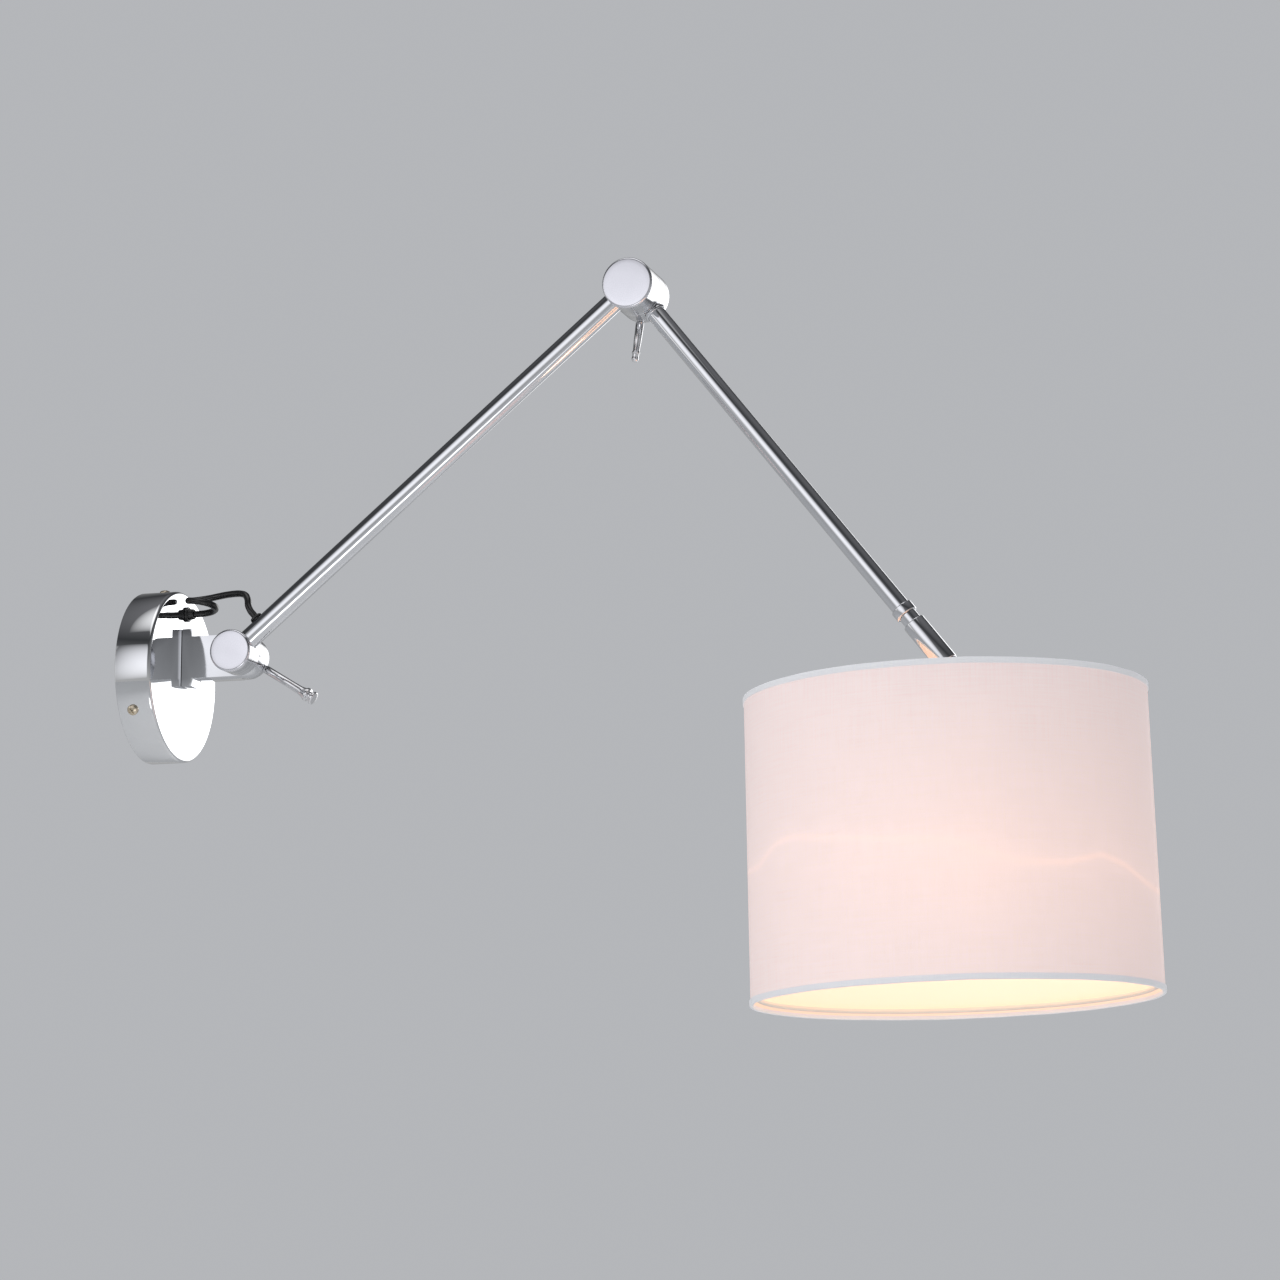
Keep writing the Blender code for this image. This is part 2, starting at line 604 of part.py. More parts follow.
def make_pivot_bracket():
    """A foot against the canopy's face, a web, and a round end that is the base knuckle's far half."""
    near = BASE_SPLIT_Y + GAP / 2
    far = BASE_FAR_Y
    foot_x = CANOPY_DEPTH + GAP - BASE_X
    web_x = foot_x + FOOT_THICKNESS
    half_foot = FOOT_HEIGHT / 2
    round_end = arc((0.0, 0.0), BASE_RADIUS, -90.0, 90.0, 16)
    points = [
        (foot_x, -half_foot),
        (web_x, -half_foot),
        (web_x, -BASE_RADIUS),
        *round_end,
        (web_x, BASE_RADIUS),
        (web_x, half_foot),
        (foot_x, half_foot),
    ]
    middle = (BASE_X, (near + far) / 2, PIVOT_RISE)
    bracket = flat_outline("pivot_bracket", points, far - near, None, middle, TOWARDS_NEAR, CHROME)
    nut_seat = far - BASE_NUT_THICKNESS - GAP
    at_axis = (BASE_X, 0.0, PIVOT_RISE)
    recess = rod_profile(BASE_RADIUS + GAP, nut_seat, far + BASE_RADIUS)
    cut(bracket, turned("nut_recess", recess, None, at_axis, ALONG_Y))
    drill(bracket, "axle_hole", BASE_AXLE_RADIUS + GAP, near - 0.01, far, None, at_axis, ALONG_Y, SEGMENTS)
    for level in (-1, 1):
        spot = (CANOPY_DEPTH, (near + far) / 2, PIVOT_RISE + level * FOOT_SCREW_SPREAD)
        depth = FOOT_SCREW_LENGTH + GAP
        drill(bracket, f"foot_thread_{level}", FOOT_SCREW_RADIUS + GAP, -depth, depth, None, spot, ALONG_X)


def make_foot_screws():
    seat = CANOPY_DEPTH - CANOPY_WALL - GAP
    for name, level in (("lower", -1), ("upper", 1)):
        profile = [
            (0.0, CANOPY_DEPTH + FOOT_SCREW_LENGTH - seat),
            (FOOT_SCREW_RADIUS, CANOPY_DEPTH + FOOT_SCREW_LENGTH - seat),
            (FOOT_SCREW_RADIUS, 0.0),
            (FOOT_SCREW_HEAD_RADIUS, 0.0),
            (FOOT_SCREW_HEAD_RADIUS, -FOOT_SCREW_HEAD_HEIGHT),
            (0.0, -FOOT_SCREW_HEAD_HEIGHT),
        ]
        spot = (seat, bracket_middle_y(), PIVOT_RISE + level * FOOT_SCREW_SPREAD)
        turned(f"foot_screw_{name}", profile, None, spot, ALONG_X, STEEL, SEGMENTS // 2)


def make_cord_grommet():
    """A flanged nose outside the canopy, a neck through it and a flange behind it, bored for the cord."""
    bore = CORD_RADIUS + GAP
    back = CANOPY_DEPTH - CANOPY_WALL - GAP
    front = CANOPY_DEPTH + GAP
    profile = [
        *edge(GROMMET_NOSE_RADIUS, CANOPY_DEPTH + GROMMET_NOSE, True, SOFT_EDGE),
        (GROMMET_NOSE_RADIUS + GROMMET_TAPER, front + GROMMET_FLANGE),
        *edge(GROMMET_FLANGE_RADIUS, front + GROMMET_FLANGE, True, SOFT_EDGE),
        (GROMMET_FLANGE_RADIUS, front),
        (GROMMET_NECK_RADIUS, front),
        (GROMMET_NECK_RADIUS, back),
        (GROMMET_FLANGE_RADIUS, back),
        (GROMMET_FLANGE_RADIUS, back - GROMMET_FLANGE),
        (bore, back - GROMMET_FLANGE),
        (bore, CANOPY_DEPTH + GROMMET_NOSE),
    ]
    turned("cord_grommet", profile, None, (0, GROMMET_Y, GROMMET_RISE), ALONG_X, BLACK)


# ---------------------------------------------------------------- knuckles


def near_knuckle(name, radius, split_y, axle_radius, distance):
    """A near half: hollow from the near side, with a washer recess in its split face.

    distance is how far along the lower arm it stands.
    """
    face = split_y - GAP / 2
    back = NEAR_FACE_Y + COVER_THICKNESS + GAP
    hollow = radius - KNUCKLE_WALL
    floor = face - KNUCKLE_FLOOR
    bore = axle_radius + GAP
    recess = hollow + WASHER_OVERLAP
    profile = [
        (radius - SEAM_EDGE, face),
        (radius, face - SEAM_EDGE),
        (radius, back + SEAM_EDGE),
        (radius - SEAM_EDGE, back),
        (hollow, back),
        (hollow, floor),
        (bore, floor),
        (bore, face - WASHER_RECESS),
        (recess, face - WASHER_RECESS),
        (recess, face),
    ]
    return turned(name, profile, base_frame, (0, 0, distance), ALONG_Y, CHROME, FINE_SEGMENTS)


def socket(target, name, radius, tube_radius, parent, spot, rotation=UPRIGHT):
    """The hole in a knuckle's round side that a tube goes into."""
    depth = radius - TUBE_LANDING - GAP
    return drill(target, name, tube_radius + GAP, depth, radius * 2, parent, spot, rotation, SEGMENTS)


def cover(name, radius, distance):
    """The pressed cover that closes a near knuckle: a rounded disc on a spigot."""
    seam = NEAR_FACE_Y + COVER_THICKNESS
    spigot = radius - KNUCKLE_WALL - GAP
    profile = [
        (0.0, seam + COVER_SPIGOT),
        (spigot, seam + COVER_SPIGOT),
        (spigot, seam),
        (radius - SEAM_EDGE, seam),
        (radius, seam - SEAM_EDGE),
        *edge(radius, NEAR_FACE_Y, False, COVER_EDGE),
        (0.0, NEAR_FACE_Y),
    ]
    turned(name, profile, base_frame, (0, 0, distance), ALONG_Y, CHROME, FINE_SEGMENTS)


def friction_washer(name, radius, split_y, axle_radius, distance):
    """A thin washer in the recess of a near half's split face."""
    floor = split_y - GAP / 2 - WASHER_RECESS + GAP
    outer = radius - KNUCKLE_WALL + WASHER_OVERLAP - GAP
    profile = ring_profile(axle_radius + GAP, outer, floor, floor + WASHER_THICKNESS)
    turned(name, profile, base_frame, (0, 0, distance), ALONG_Y, NYLON)


def clamp_nut(name, radius, far_y, thickness, axle_radius, parent, elevation):
    """The round nut on a knuckle's far end, with a hole in its side for the lever.

    elevation is the lever's, in degrees above +X.
    """
    seat = far_y - thickness
    bore = axle_radius + GAP
    depth = far_y - thickness * NUT_FLOOR_SHARE
    profile = [
        (0.0, far_y),
        *edge(radius, far_y, True, COVER_EDGE),
        (radius, seat + SEAM_EDGE),
        (radius - SEAM_EDGE, seat),
        (bore, seat),
        (bore, depth),
        (0.0, depth),
    ]
    nut = turned(name, profile, parent, (0, 0, 0), ALONG_Y, CHROME, FINE_SEGMENTS)
    inner = radius - LEVER_ROOT_LENGTH - GAP
    middle = (0, seat + thickness / 2, 0)
    lever_bore = LEVER_ROOT_RADIUS + GAP
    return drill(nut, name + "_hole", lever_bore, inner, radius * 2, parent, middle, raised(elevation))


def make_base_knuckle():
    knuckle = near_knuckle("base_knuckle", BASE_RADIUS, BASE_SPLIT_Y, BASE_AXLE_RADIUS, 0.0)
    socket(knuckle, "base_socket", BASE_RADIUS, LOWER_TUBE_RADIUS, base_frame, (0, LOWER_ARM_Y, 0))
    cover("base_cover", BASE_RADIUS, 0.0)
    friction_washer("base_washer", BASE_RADIUS, BASE_SPLIT_Y, BASE_AXLE_RADIUS, 0.0)


def make_base_axle():
    """A headed axle from the near half's hollow to the clamp nut."""
    seat = BASE_SPLIT_Y - GAP / 2 - KNUCKLE_FLOOR - GAP
    back = seat - BASE_AXLE_HEAD_THICKNESS
    tip = BASE_FAR_Y - BASE_NUT_THICKNESS * NUT_FLOOR_SHARE - GAP
    profile = [
        (0.0, tip),
        *edge(BASE_AXLE_RADIUS, tip, True, SOFT_EDGE),
        (BASE_AXLE_RADIUS, seat),
        (BASE_AXLE_HEAD_RADIUS, seat),
        *edge(BASE_AXLE_HEAD_RADIUS, back, False, SOFT_EDGE),
        (0.0, back),
    ]
    turned("base_axle", profile, None, BASE_AXIS, ALONG_Y, STEEL)


def make_elbow():
    reach = LOWER_ARM_LENGTH
    near = near_knuckle("elbow_knuckle_near", ELBOW_RADIUS, ELBOW_SPLIT_Y, NIPPLE_RADIUS, reach)
    spot = (0, LOWER_ARM_Y, reach)
    socket(near, "elbow_socket", ELBOW_RADIUS, LOWER_TUBE_RADIUS, base_frame, spot, DOWNWARDS)
    cover("elbow_cover", ELBOW_RADIUS, reach)
    friction_washer("elbow_washer", ELBOW_RADIUS, ELBOW_SPLIT_Y, NIPPLE_RADIUS, reach)
    make_elbow_far_half()
    make_elbow_nipple()


def make_elbow_far_half():
    face = ELBOW_SPLIT_Y + GAP / 2
    back = ELBOW_FAR_Y - ELBOW_NUT_THICKNESS - GAP
    hollow = ELBOW_RADIUS - KNUCKLE_WALL
    bore = NIPPLE_RADIUS + GAP
    floor = face + KNUCKLE_FLOOR
    profile = [
        (ELBOW_RADIUS - SEAM_EDGE, back),
        (ELBOW_RADIUS, back - SEAM_EDGE),
        (ELBOW_RADIUS, face + SEAM_EDGE),
        (ELBOW_RADIUS - SEAM_EDGE, face),
        (bore, face),
        (bore, floor),
        (hollow, floor),
        (hollow, back),
    ]
    far = turned("elbow_knuckle_far", profile, elbow_frame, (0, 0, 0), ALONG_Y, CHROME, FINE_SEGMENTS)
    socket(far, "far_socket", ELBOW_RADIUS, UPPER_TUBE_RADIUS, elbow_frame, (0, UPPER_ARM_Y, 0))


def make_elbow_nipple():
    """The hollow axle that the cord passes through, with a window towards the upper arm."""
    floor = ELBOW_SPLIT_Y - GAP / 2 - KNUCKLE_FLOOR
    tip = ELBOW_FAR_Y - ELBOW_NUT_THICKNESS * NUT_FLOOR_SHARE - GAP
    head = floor - GAP
    profile = [
        (NIPPLE_RADIUS, tip),
        (NIPPLE_RADIUS, head),
        (NIPPLE_HEAD_RADIUS, head),
        (NIPPLE_HEAD_RADIUS, head - NIPPLE_HEAD_THICKNESS),
        (NIPPLE_BORE, head - NIPPLE_HEAD_THICKNESS),
        (NIPPLE_BORE, tip),
    ]
    nipple = turned("elbow_nipple", profile, elbow_frame, (0, 0, 0), ALONG_Y, STEEL)
    window = (0, UPPER_ARM_Y, 0)
    drill(nipple, "nipple_window", NIPPLE_BORE, 0.0, NIPPLE_RADIUS * 2, elbow_frame, window, UPRIGHT)


def make_clamps():
    base_at = frame("base_clamp_axis", BASE_AXIS, UPRIGHT)
    clamp_nut(
        "base_clamp_nut",
        BASE_RADIUS,
        BASE_FAR_Y,
        BASE_NUT_THICKNESS,
        BASE_AXLE_RADIUS,
        base_at,
        BASE_LEVER_ELEVATION,
    )
    elbow_at = frame("elbow_clamp_axis", (0, 0, 0), (0.0, -raised(UPPER_ARM_ELEVATION)[1], 0.0), elbow_frame)
    clamp_nut(
        "elbow_clamp_nut",
        ELBOW_RADIUS,
        ELBOW_FAR_Y,
        ELBOW_NUT_THICKNESS,
        NIPPLE_RADIUS,
        elbow_at,
        ELBOW_LEVER_ELEVATION,
    )
    make_base_lever(base_at)
    make_elbow_lever(elbow_at)


def lever_root(radius):
    """The last profile points of a lever: its shoulder, and its threaded root in the nut."""
    shoulder = radius + GAP
    inner = radius - LEVER_ROOT_LENGTH
    return [(LEVER_RADIUS, shoulder), (LEVER_ROOT_RADIUS, shoulder), (LEVER_ROOT_RADIUS, inner), (0.0, inner)]


def make_base_lever(parent):
    """A rod with a flared collar, a groove and a flat button at its end."""
    tip = BASE_RADIUS + BASE_LEVER_LENGTH
    button = tip - LEVER_BUTTON_LENGTH
    groove = button - LEVER_GROOVE_LENGTH
    collar = groove - LEVER_COLLAR_LENGTH
    profile = [
        (0.0, tip),
        *edge(LEVER_BUTTON_RADIUS, tip, True, SOFT_EDGE),
        *edge(LEVER_BUTTON_RADIUS, button, False, SOFT_EDGE),
        (LEVER_GROOVE_RADIUS, button),
        (LEVER_GROOVE_RADIUS, groove),
        *edge(LEVER_COLLAR_RADIUS, groove, True, SOFT_EDGE),
        (LEVER_COLLAR_RADIUS, collar),
        (LEVER_RADIUS, collar - LEVER_FLARE_LENGTH),
        *lever_root(BASE_RADIUS),
    ]
    spot = (0, BASE_FAR_Y - BASE_NUT_THICKNESS / 2, 0)
    turned("base_lever", profile, parent, spot, raised(BASE_LEVER_ELEVATION), CHROME)


def make_elbow_lever(parent):
    """A shorter rod that tapers to a low collar and a rounded tip."""
    tip = ELBOW_RADIUS + ELBOW_LEVER_LENGTH
    dome = ELBOW_LEVER_TIP_RADIUS
    bead_end = tip - ELBOW_LEVER_TIP_LENGTH
    bead_high = bead_end - ELBOW_LEVER_BEAD_SLOPE
    bead_low = bead_high - ELBOW_LEVER_BEAD_WIDTH
    profile = [
        *arc((0.0, tip - dome), dome, 90.0, 0.0),
        (ELBOW_LEVER_TIP_RADIUS, bead_end),
        (LEVER_RADIUS, bead_high),
        (LEVER_RADIUS, bead_low),
        (ELBOW_LEVER_TIP_RADIUS, bead_low - ELBOW_LEVER_BEAD_SLOPE),
        *lever_root(ELBOW_RADIUS),
    ]
    profile[0] = (0.0, tip)
    spot = (0, ELBOW_FAR_Y - ELBOW_NUT_THICKNESS / 2, 0)
    turned("elbow_lever", profile, parent, spot, raised(ELBOW_LEVER_ELEVATION), CHROME)


# ---------------------------------------------------------------- arms and swivel


def make_lower_tube():
    start = BASE_RADIUS - TUBE_LANDING
    end = LOWER_ARM_LENGTH - ELBOW_RADIUS + TUBE_LANDING
    bore = LOWER_TUBE_RADIUS - TUBE_WALL
    spot = (0, LOWER_ARM_Y, 0)
    profile = ring_profile(bore, LOWER_TUBE_RADIUS, start, end)
    tube = turned("lower_tube", profile, base_frame, spot, UPRIGHT, CHROME)
    hole = (0, LOWER_ARM_Y, CORD_HOLE_DISTANCE)
    drill(tube, "tube_cord_hole", BUSHING_NECK_RADIUS + GAP, 0.0, DRILL_REACH, base_frame, hole, BACK_OF_ARM)
    seat = LOWER_TUBE_RADIUS + GAP
    profile = [
        *edge(BUSHING_FLANGE_RADIUS, seat + BUSHING_FLANGE, True, SOFT_EDGE),
        (BUSHING_FLANGE_RADIUS, seat),
        (BUSHING_NECK_RADIUS, seat),
        (BUSHING_NECK_RADIUS, bore - BUSHING_TAIL),
        (CORD_RADIUS + GAP, bore - BUSHING_TAIL),
        (CORD_RADIUS + GAP, seat + BUSHING_FLANGE),
    ]
    turned("cord_bushing", profile, base_frame, hole, BACK_OF_ARM, BLACK, SEGMENTS // 2)


def make_upper_tube():
    start = ELBOW_RADIUS - TUBE_LANDING
    end = RING_START + RING_LENGTH
    tube = ring_profile(UPPER_TUBE_RADIUS - TUBE_WALL, UPPER_TUBE_RADIUS, start, end)
    turned("upper_tube", tube, head_frame, (0, 0, 0), UPRIGHT, CHROME)
    inner = UPPER_TUBE_RADIUS + GAP
    low = ELBOW_RADIUS + GAP
    ferrule = ring_profile(inner, inner + FERRULE_WALL, low, low + FERRULE_LENGTH, 0.0, FERRULE_EDGE)
    turned("tube_ferrule", ferrule, head_frame, (0, 0, 0), UPRIGHT, CHROME)
    ring = ring_profile(inner, inner + RING_WALL, RING_START, end, SOFT_EDGE, SOFT_EDGE)
    turned("end_ring", ring, head_frame, (0, 0, 0), UPRIGHT, CHROME)


def make_swivel():
    """A hollow stem fixed in the upper arm, and the sleeve that turns on it."""
    bore = STEM_BORE
    plug = UPPER_TUBE_RADIUS - TUBE_WALL - GAP
    bare_end = STEM_START + STEM_BARE_LENGTH
    stem = [
        (STEM_SPIGOT_RADIUS, bare_end + STEM_SPIGOT_LENGTH),
        (STEM_SPIGOT_RADIUS, bare_end),
        (STEM_RADIUS, bare_end),
        (STEM_RADIUS, STEM_START),
        (plug, STEM_START),
        (plug, STEM_START - STEM_TAIL_LENGTH),
        (bore, STEM_START - STEM_TAIL_LENGTH),
        (bore, bare_end + STEM_SPIGOT_LENGTH),
    ]
    turned("swivel_stem", stem, head_frame, (0, 0, 0), UPRIGHT, CHROME)
    pocket = bare_end + STEM_SPIGOT_LENGTH + GAP
    outer = [
        *edge(SLEEVE_RADIUS, SLEEVE_END, True, SOFT_EDGE),
        *edge(SLEEVE_RADIUS, SLEEVE_START, False, SOFT_EDGE),
    ]
    inner = [
        (STEM_SPIGOT_RADIUS + GAP, SLEEVE_START),
        (STEM_SPIGOT_RADIUS + GAP, pocket),
        (SLEEVE_BORE, pocket),
        (SLEEVE_BORE, SLEEVE_END),
    ]
    sleeve = turned("swivel_sleeve", outer + inner, head_frame, (0, 0, 0), UPRIGHT, CHROME)
    spot = (0, 0, SLEEVE_START + SET_SCREW_DISTANCE)
    drill(sleeve, "set_screw_hole", SET_SCREW_RADIUS + GAP, 0.0, DRILL_REACH, head_frame, spot, BACK_OF_ARM)
    screw = rod_profile(SET_SCREW_RADIUS, STEM_SPIGOT_RADIUS + GAP, SLEEVE_RADIUS - GAP, 0.0, SEAM_EDGE)
    turned("swivel_set_screw", screw, head_frame, spot, BACK_OF_ARM, STEEL, SEGMENTS // 2)


def make_hinge():
    """A round fork screwed into the sleeve, with a bolt and a thumb nut across it."""
    low = SLEEVE_END + GAP
    high = HINGE_DISTANCE + FORK_RADIUS
    outer = [
        (0.0, high),
        *edge(FORK_RADIUS, high, True, FORK_TOP_ROUND),
        *edge(FORK_RADIUS, low, False, SOFT_EDGE),
    ]
    stud_end = low - FORK_STUD_LENGTH
    stud = [(FORK_STUD_RADIUS, low), (FORK_STUD_RADIUS, stud_end), (0.0, stud_end)]
    fork = turned("hinge_fork", outer + stud, head_frame, (0, 0, 0), UPRIGHT, CHROME)
    throat = HINGE_DISTANCE - TONGUE_RADIUS - GAP * 3
    length = high - throat + FORK_RADIUS
    slot = (FORK_RADIUS * 3, FORK_SLOT, length)
    cut(fork, block("fork_slot", slot, head_frame, (0, 0, throat + length / 2), UPRIGHT))
    spot = (0, 0, HINGE_DISTANCE)
    hole = HINGE_BOLT_RADIUS + GAP
    drill(fork, "fork_hole", hole, -FORK_RADIUS * 2, FORK_RADIUS * 2, head_frame, spot, ALONG_Y)
    side = FORK_RADIUS + GAP
    tail = -side - THUMB_NUT_THICKNESS - HINGE_BOLT_TAIL
    bolt = [
        (0.0, side + HINGE_HEAD_THICKNESS),
        *edge(HINGE_HEAD_RADIUS, side + HINGE_HEAD_THICKNESS, True, HEAD_ROUND),
        (HINGE_HEAD_RADIUS, side),
        (HINGE_BOLT_RADIUS, side),
        (HINGE_BOLT_RADIUS, tail),
        (0.0, tail),
    ]
    turned("hinge_bolt", bolt, head_frame, spot, ALONG_Y, STEEL)
    nut = ring_profile(hole, THUMB_NUT_RADIUS, -side - THUMB_NUT_THICKNESS, -side, SOFT_EDGE, SOFT_EDGE)
    turned("hinge_thumb_nut", nut, head_frame, spot, ALONG_Y, CHROME)


# ---------------------------------------------------------------- lampholder and bulb

CAP_TOP = PLATFORM_TOP - PLATFORM_THICKNESS - GAP
SHELL_TOP = CAP_TOP - HOLDER_CAP_HEIGHT - GAP
SHELL_BOTTOM = SHELL_TOP - HOLDER_SHELL_HEIGHT
HUB_TOP = SHELL_TOP - RING_NUT_DROP - RING_NUT_HEIGHT - GAP
SHADE_AXIS = (SHADE_AXIS_X, 0.0, 0.0)


def make_holder_bracket():
    """A tongue from the hinge down to a round platform over the lampholder."""
    points = [
        (-TONGUE_RADIUS, PLATFORM_TOP - PLATFORM_THICKNESS / 2),
        (TONGUE_RADIUS, PLATFORM_TOP - PLATFORM_THICKNESS / 2),
        *arc((0.0, 0.0), TONGUE_RADIUS, 0.0, 180.0, 12),
    ]
    thick = FORK_SLOT - 2 * GAP
    tongue = flat_outline("holder_bracket", points, thick, shade_frame, (0, 0, 0), TOWARDS_NEAR, STEEL)
    platform = rod_profile(PLATFORM_RADIUS, PLATFORM_TOP - PLATFORM_THICKNESS, PLATFORM_TOP)
    join(tongue, turned("bracket_platform", platform, shade_frame, SHADE_AXIS, UPRIGHT))
    hole = HINGE_BOLT_RADIUS + GAP
    drill(tongue, "tongue_hole", hole, -thick, thick, shade_frame, (0, 0, 0), ALONG_Y)
    depth = PLATFORM_THICKNESS * 2
    drill(tongue, "platform_hole", M4_RADIUS + GAP, -depth, depth, shade_frame, screw_spot(), UPRIGHT)


def screw_spot():
    """The bracket screw stands just clear of the tongue, on the lampholder's side of it."""
    reach = TONGUE_RADIUS + CANOPY_SCREW_HEAD_RADIUS + GAP * 2
    return (min(SHADE_AXIS_X, -reach), 0.0, PLATFORM_TOP)


def make_bracket_screw():
    head = CANOPY_SCREW_HEAD_HEIGHT
    length = PLATFORM_THICKNESS + HOLDER_CAP_ROOF * BRACKET_SCREW_SHARE
    profile = [
        (0.0, head + GAP),
        *edge(CANOPY_SCREW_HEAD_RADIUS, head + GAP, True, HEAD_ROUND),
        (CANOPY_SCREW_HEAD_RADIUS, GAP),
        (M4_RADIUS, GAP),
        (M4_RADIUS, -length),
        (0.0, -length),
    ]
    turned("bracket_screw", profile, shade_frame, screw_spot(), UPRIGHT, STEEL, SEGMENTS // 2)


def make_lampholder():
    bottom = SHELL_TOP + GAP
    inner = HOLDER_RADIUS - HOLDER_CAP_WALL
    cap = [
        (0.0, CAP_TOP),
        *edge(HOLDER_RADIUS, CAP_TOP, True, HOLDER_CAP_ROUND),
        (HOLDER_RADIUS, bottom),
        (inner, bottom),
        (inner, CAP_TOP - HOLDER_CAP_ROOF),
        (0.0, CAP_TOP - HOLDER_CAP_ROOF),
    ]
    holder_cap = turned("holder_cap", cap, shade_frame, SHADE_AXIS, UPRIGHT, HOLDER)
    spot = screw_spot()
    depth = PLATFORM_THICKNESS + HOLDER_CAP_ROOF * BRACKET_SCREW_SHARE + GAP
    drill(holder_cap, "cap_screw_hole", M4_RADIUS + GAP, -depth, 0.0, shade_frame, spot, UPRIGHT)
    shell = [
        (0.0, SHELL_TOP),
        (HOLDER_RADIUS, SHELL_TOP),
        *edge(HOLDER_RADIUS, SHELL_BOTTOM, False, HOLDER_MOUTH_ROUND),
        (HOLDER_BORE, SHELL_BOTTOM),
        (HOLDER_BORE, SHELL_TOP - HOLDER_SHELL_ROOF),
        (0.0, SHELL_TOP - HOLDER_SHELL_ROOF),
    ]
    turned("holder_shell", shell, shade_frame, SHADE_AXIS, UPRIGHT, HOLDER)
    inner = HOLDER_RADIUS + GAP
    upper = HUB_TOP + GAP
    lower = HUB_TOP - HUB_THICKNESS - GAP - RING_NUT_HEIGHT
    for name, low in (("shade_ring_nut_upper", upper), ("shade_ring_nut_lower", lower)):
        nut = ring_profile(inner, RING_NUT_RADIUS, low, low + RING_NUT_HEIGHT, HEAD_ROUND, HEAD_ROUND)
        turned(name, nut, shade_frame, SHADE_AXIS, UPRIGHT, HOLDER)


def make_bulb():
    """A screw cap, open below, and a glass bulb that is open into it."""
    cap_top = SHELL_TOP - HOLDER_SHELL_ROOF - GAP
    cap_bottom = cap_top - BULB_CAP_HEIGHT
    cap = [
        (0.0, cap_top),
        (BULB_CONTACT_RADIUS, cap_top),
        (BULB_CAP_RADIUS, cap_top - BULB_CAP_ROOF),
        (BULB_CAP_RADIUS, cap_bottom),
        (BULB_CAP_RADIUS - BULB_CAP_WALL, cap_bottom),
        (BULB_CAP_RADIUS - BULB_CAP_WALL, cap_top - BULB_CAP_ROOF - BULB_CAP_WALL),
        (0.0, cap_top - BULB_CAP_ROOF - BULB_CAP_WALL),
    ]
    turned("bulb_cap", cap, shade_frame, SHADE_AXIS, UPRIGHT, BRASS)
    top = cap_bottom - GAP
    centre = top - BULB_LENGTH + BULB_RADIUS
    outside = bulb_side(top, centre, 0.0)
    inside = bulb_side(top, centre, BULB_WALL)
    turned("bulb_glass", outside + inside[::-1], shade_frame, SHADE_AXIS, UPRIGHT, GLASS)


def bulb_side(top, centre, inset):
    """The bulb's side from its open neck down to the middle of its globe, this far inside its outer face."""
    radius = BULB_RADIUS - inset
    neck = BULB_NECK_RADIUS - inset
    neck_end = top - BULB_NECK_LENGTH
    globe = arc((0.0, centre), radius, BULB_SHOULDER_ANGLE, -90.0, BULB_STEPS)
    globe[-1] = (0.0, centre - radius)
    shoulder_radius = (neck + globe[0][0]) / 2 - BULB_SHOULDER_INSET
    shoulder_height = (neck_end + globe[0][1]) / 2 - BULB_SHOULDER_DROP
    return [(neck, top), (neck, neck_end), (shoulder_radius, shoulder_height), *globe]


# ---------------------------------------------------------------- shade


def shade_radius(height):
    """Outer radius of the fabric drum at a height from the hinge."""
    share = (SHADE_TOP - height) / SHADE_HEIGHT
    return SHADE_TOP_RADIUS + SHADE_FLARE * share


def make_drum():
    top = SHADE_TOP - TRIM_WALL - GAP
    bottom = SHADE_TOP - SHADE_HEIGHT + TRIM_WALL + GAP
    profile = [
        (shade_radius(top), top),
        (shade_radius(bottom), bottom),
        (shade_radius(bottom) - SHADE_WALL, bottom),
        (shade_radius(top) - SHADE_WALL, top),
    ]
    turned("shade_drum", profile, shade_frame, SHADE_AXIS, UPRIGHT, FABRIC, SHADE_SEGMENTS)


def make_trim(name, outer_height, downwards):
    """A tape folded over an edge of the drum: outside, over the edge and a little way inside."""
    step = -1 if downwards else 1
    lip = outer_height + step * TRIM_HEIGHT
    floor = outer_height + step * TRIM_WALL
    inside_lip = outer_height + step * TRIM_HEIGHT * TRIM_INSIDE_SHARE
    radius = shade_radius(outer_height)
    out = radius + GAP + TRIM_WALL
    inn = radius - SHADE_WALL - GAP - TRIM_WALL
    round_off = TRIM_WALL * TRIM_ROUND_SHARE
    profile = [
        (out - round_off, outer_height),
        (out, outer_height + step * round_off),
        (out, lip),
        (out - TRIM_WALL, lip),
        (out - TRIM_WALL, floor),
        (inn + TRIM_WALL, floor),
        (inn + TRIM_WALL, inside_lip),
        (inn, inside_lip),
        (inn, outer_height + step * round_off),
        (inn + round_off, outer_height),
    ]
    if not downwards:
        profile.reverse()
    turned(name, profile, shade_frame, SHADE_AXIS, UPRIGHT, TRIM, SHADE_SEGMENTS)


def ring_of_wire(name, radius, height, material=None):
    profile = arc((radius, height), WIRE_RADIUS, 90.0, -270.0 + 360.0 / (WIRE_STEPS + 1), WIRE_STEPS)
    return turned(name, profile, shade_frame, SHADE_AXIS, UPRIGHT, material, SHADE_SEGMENTS)


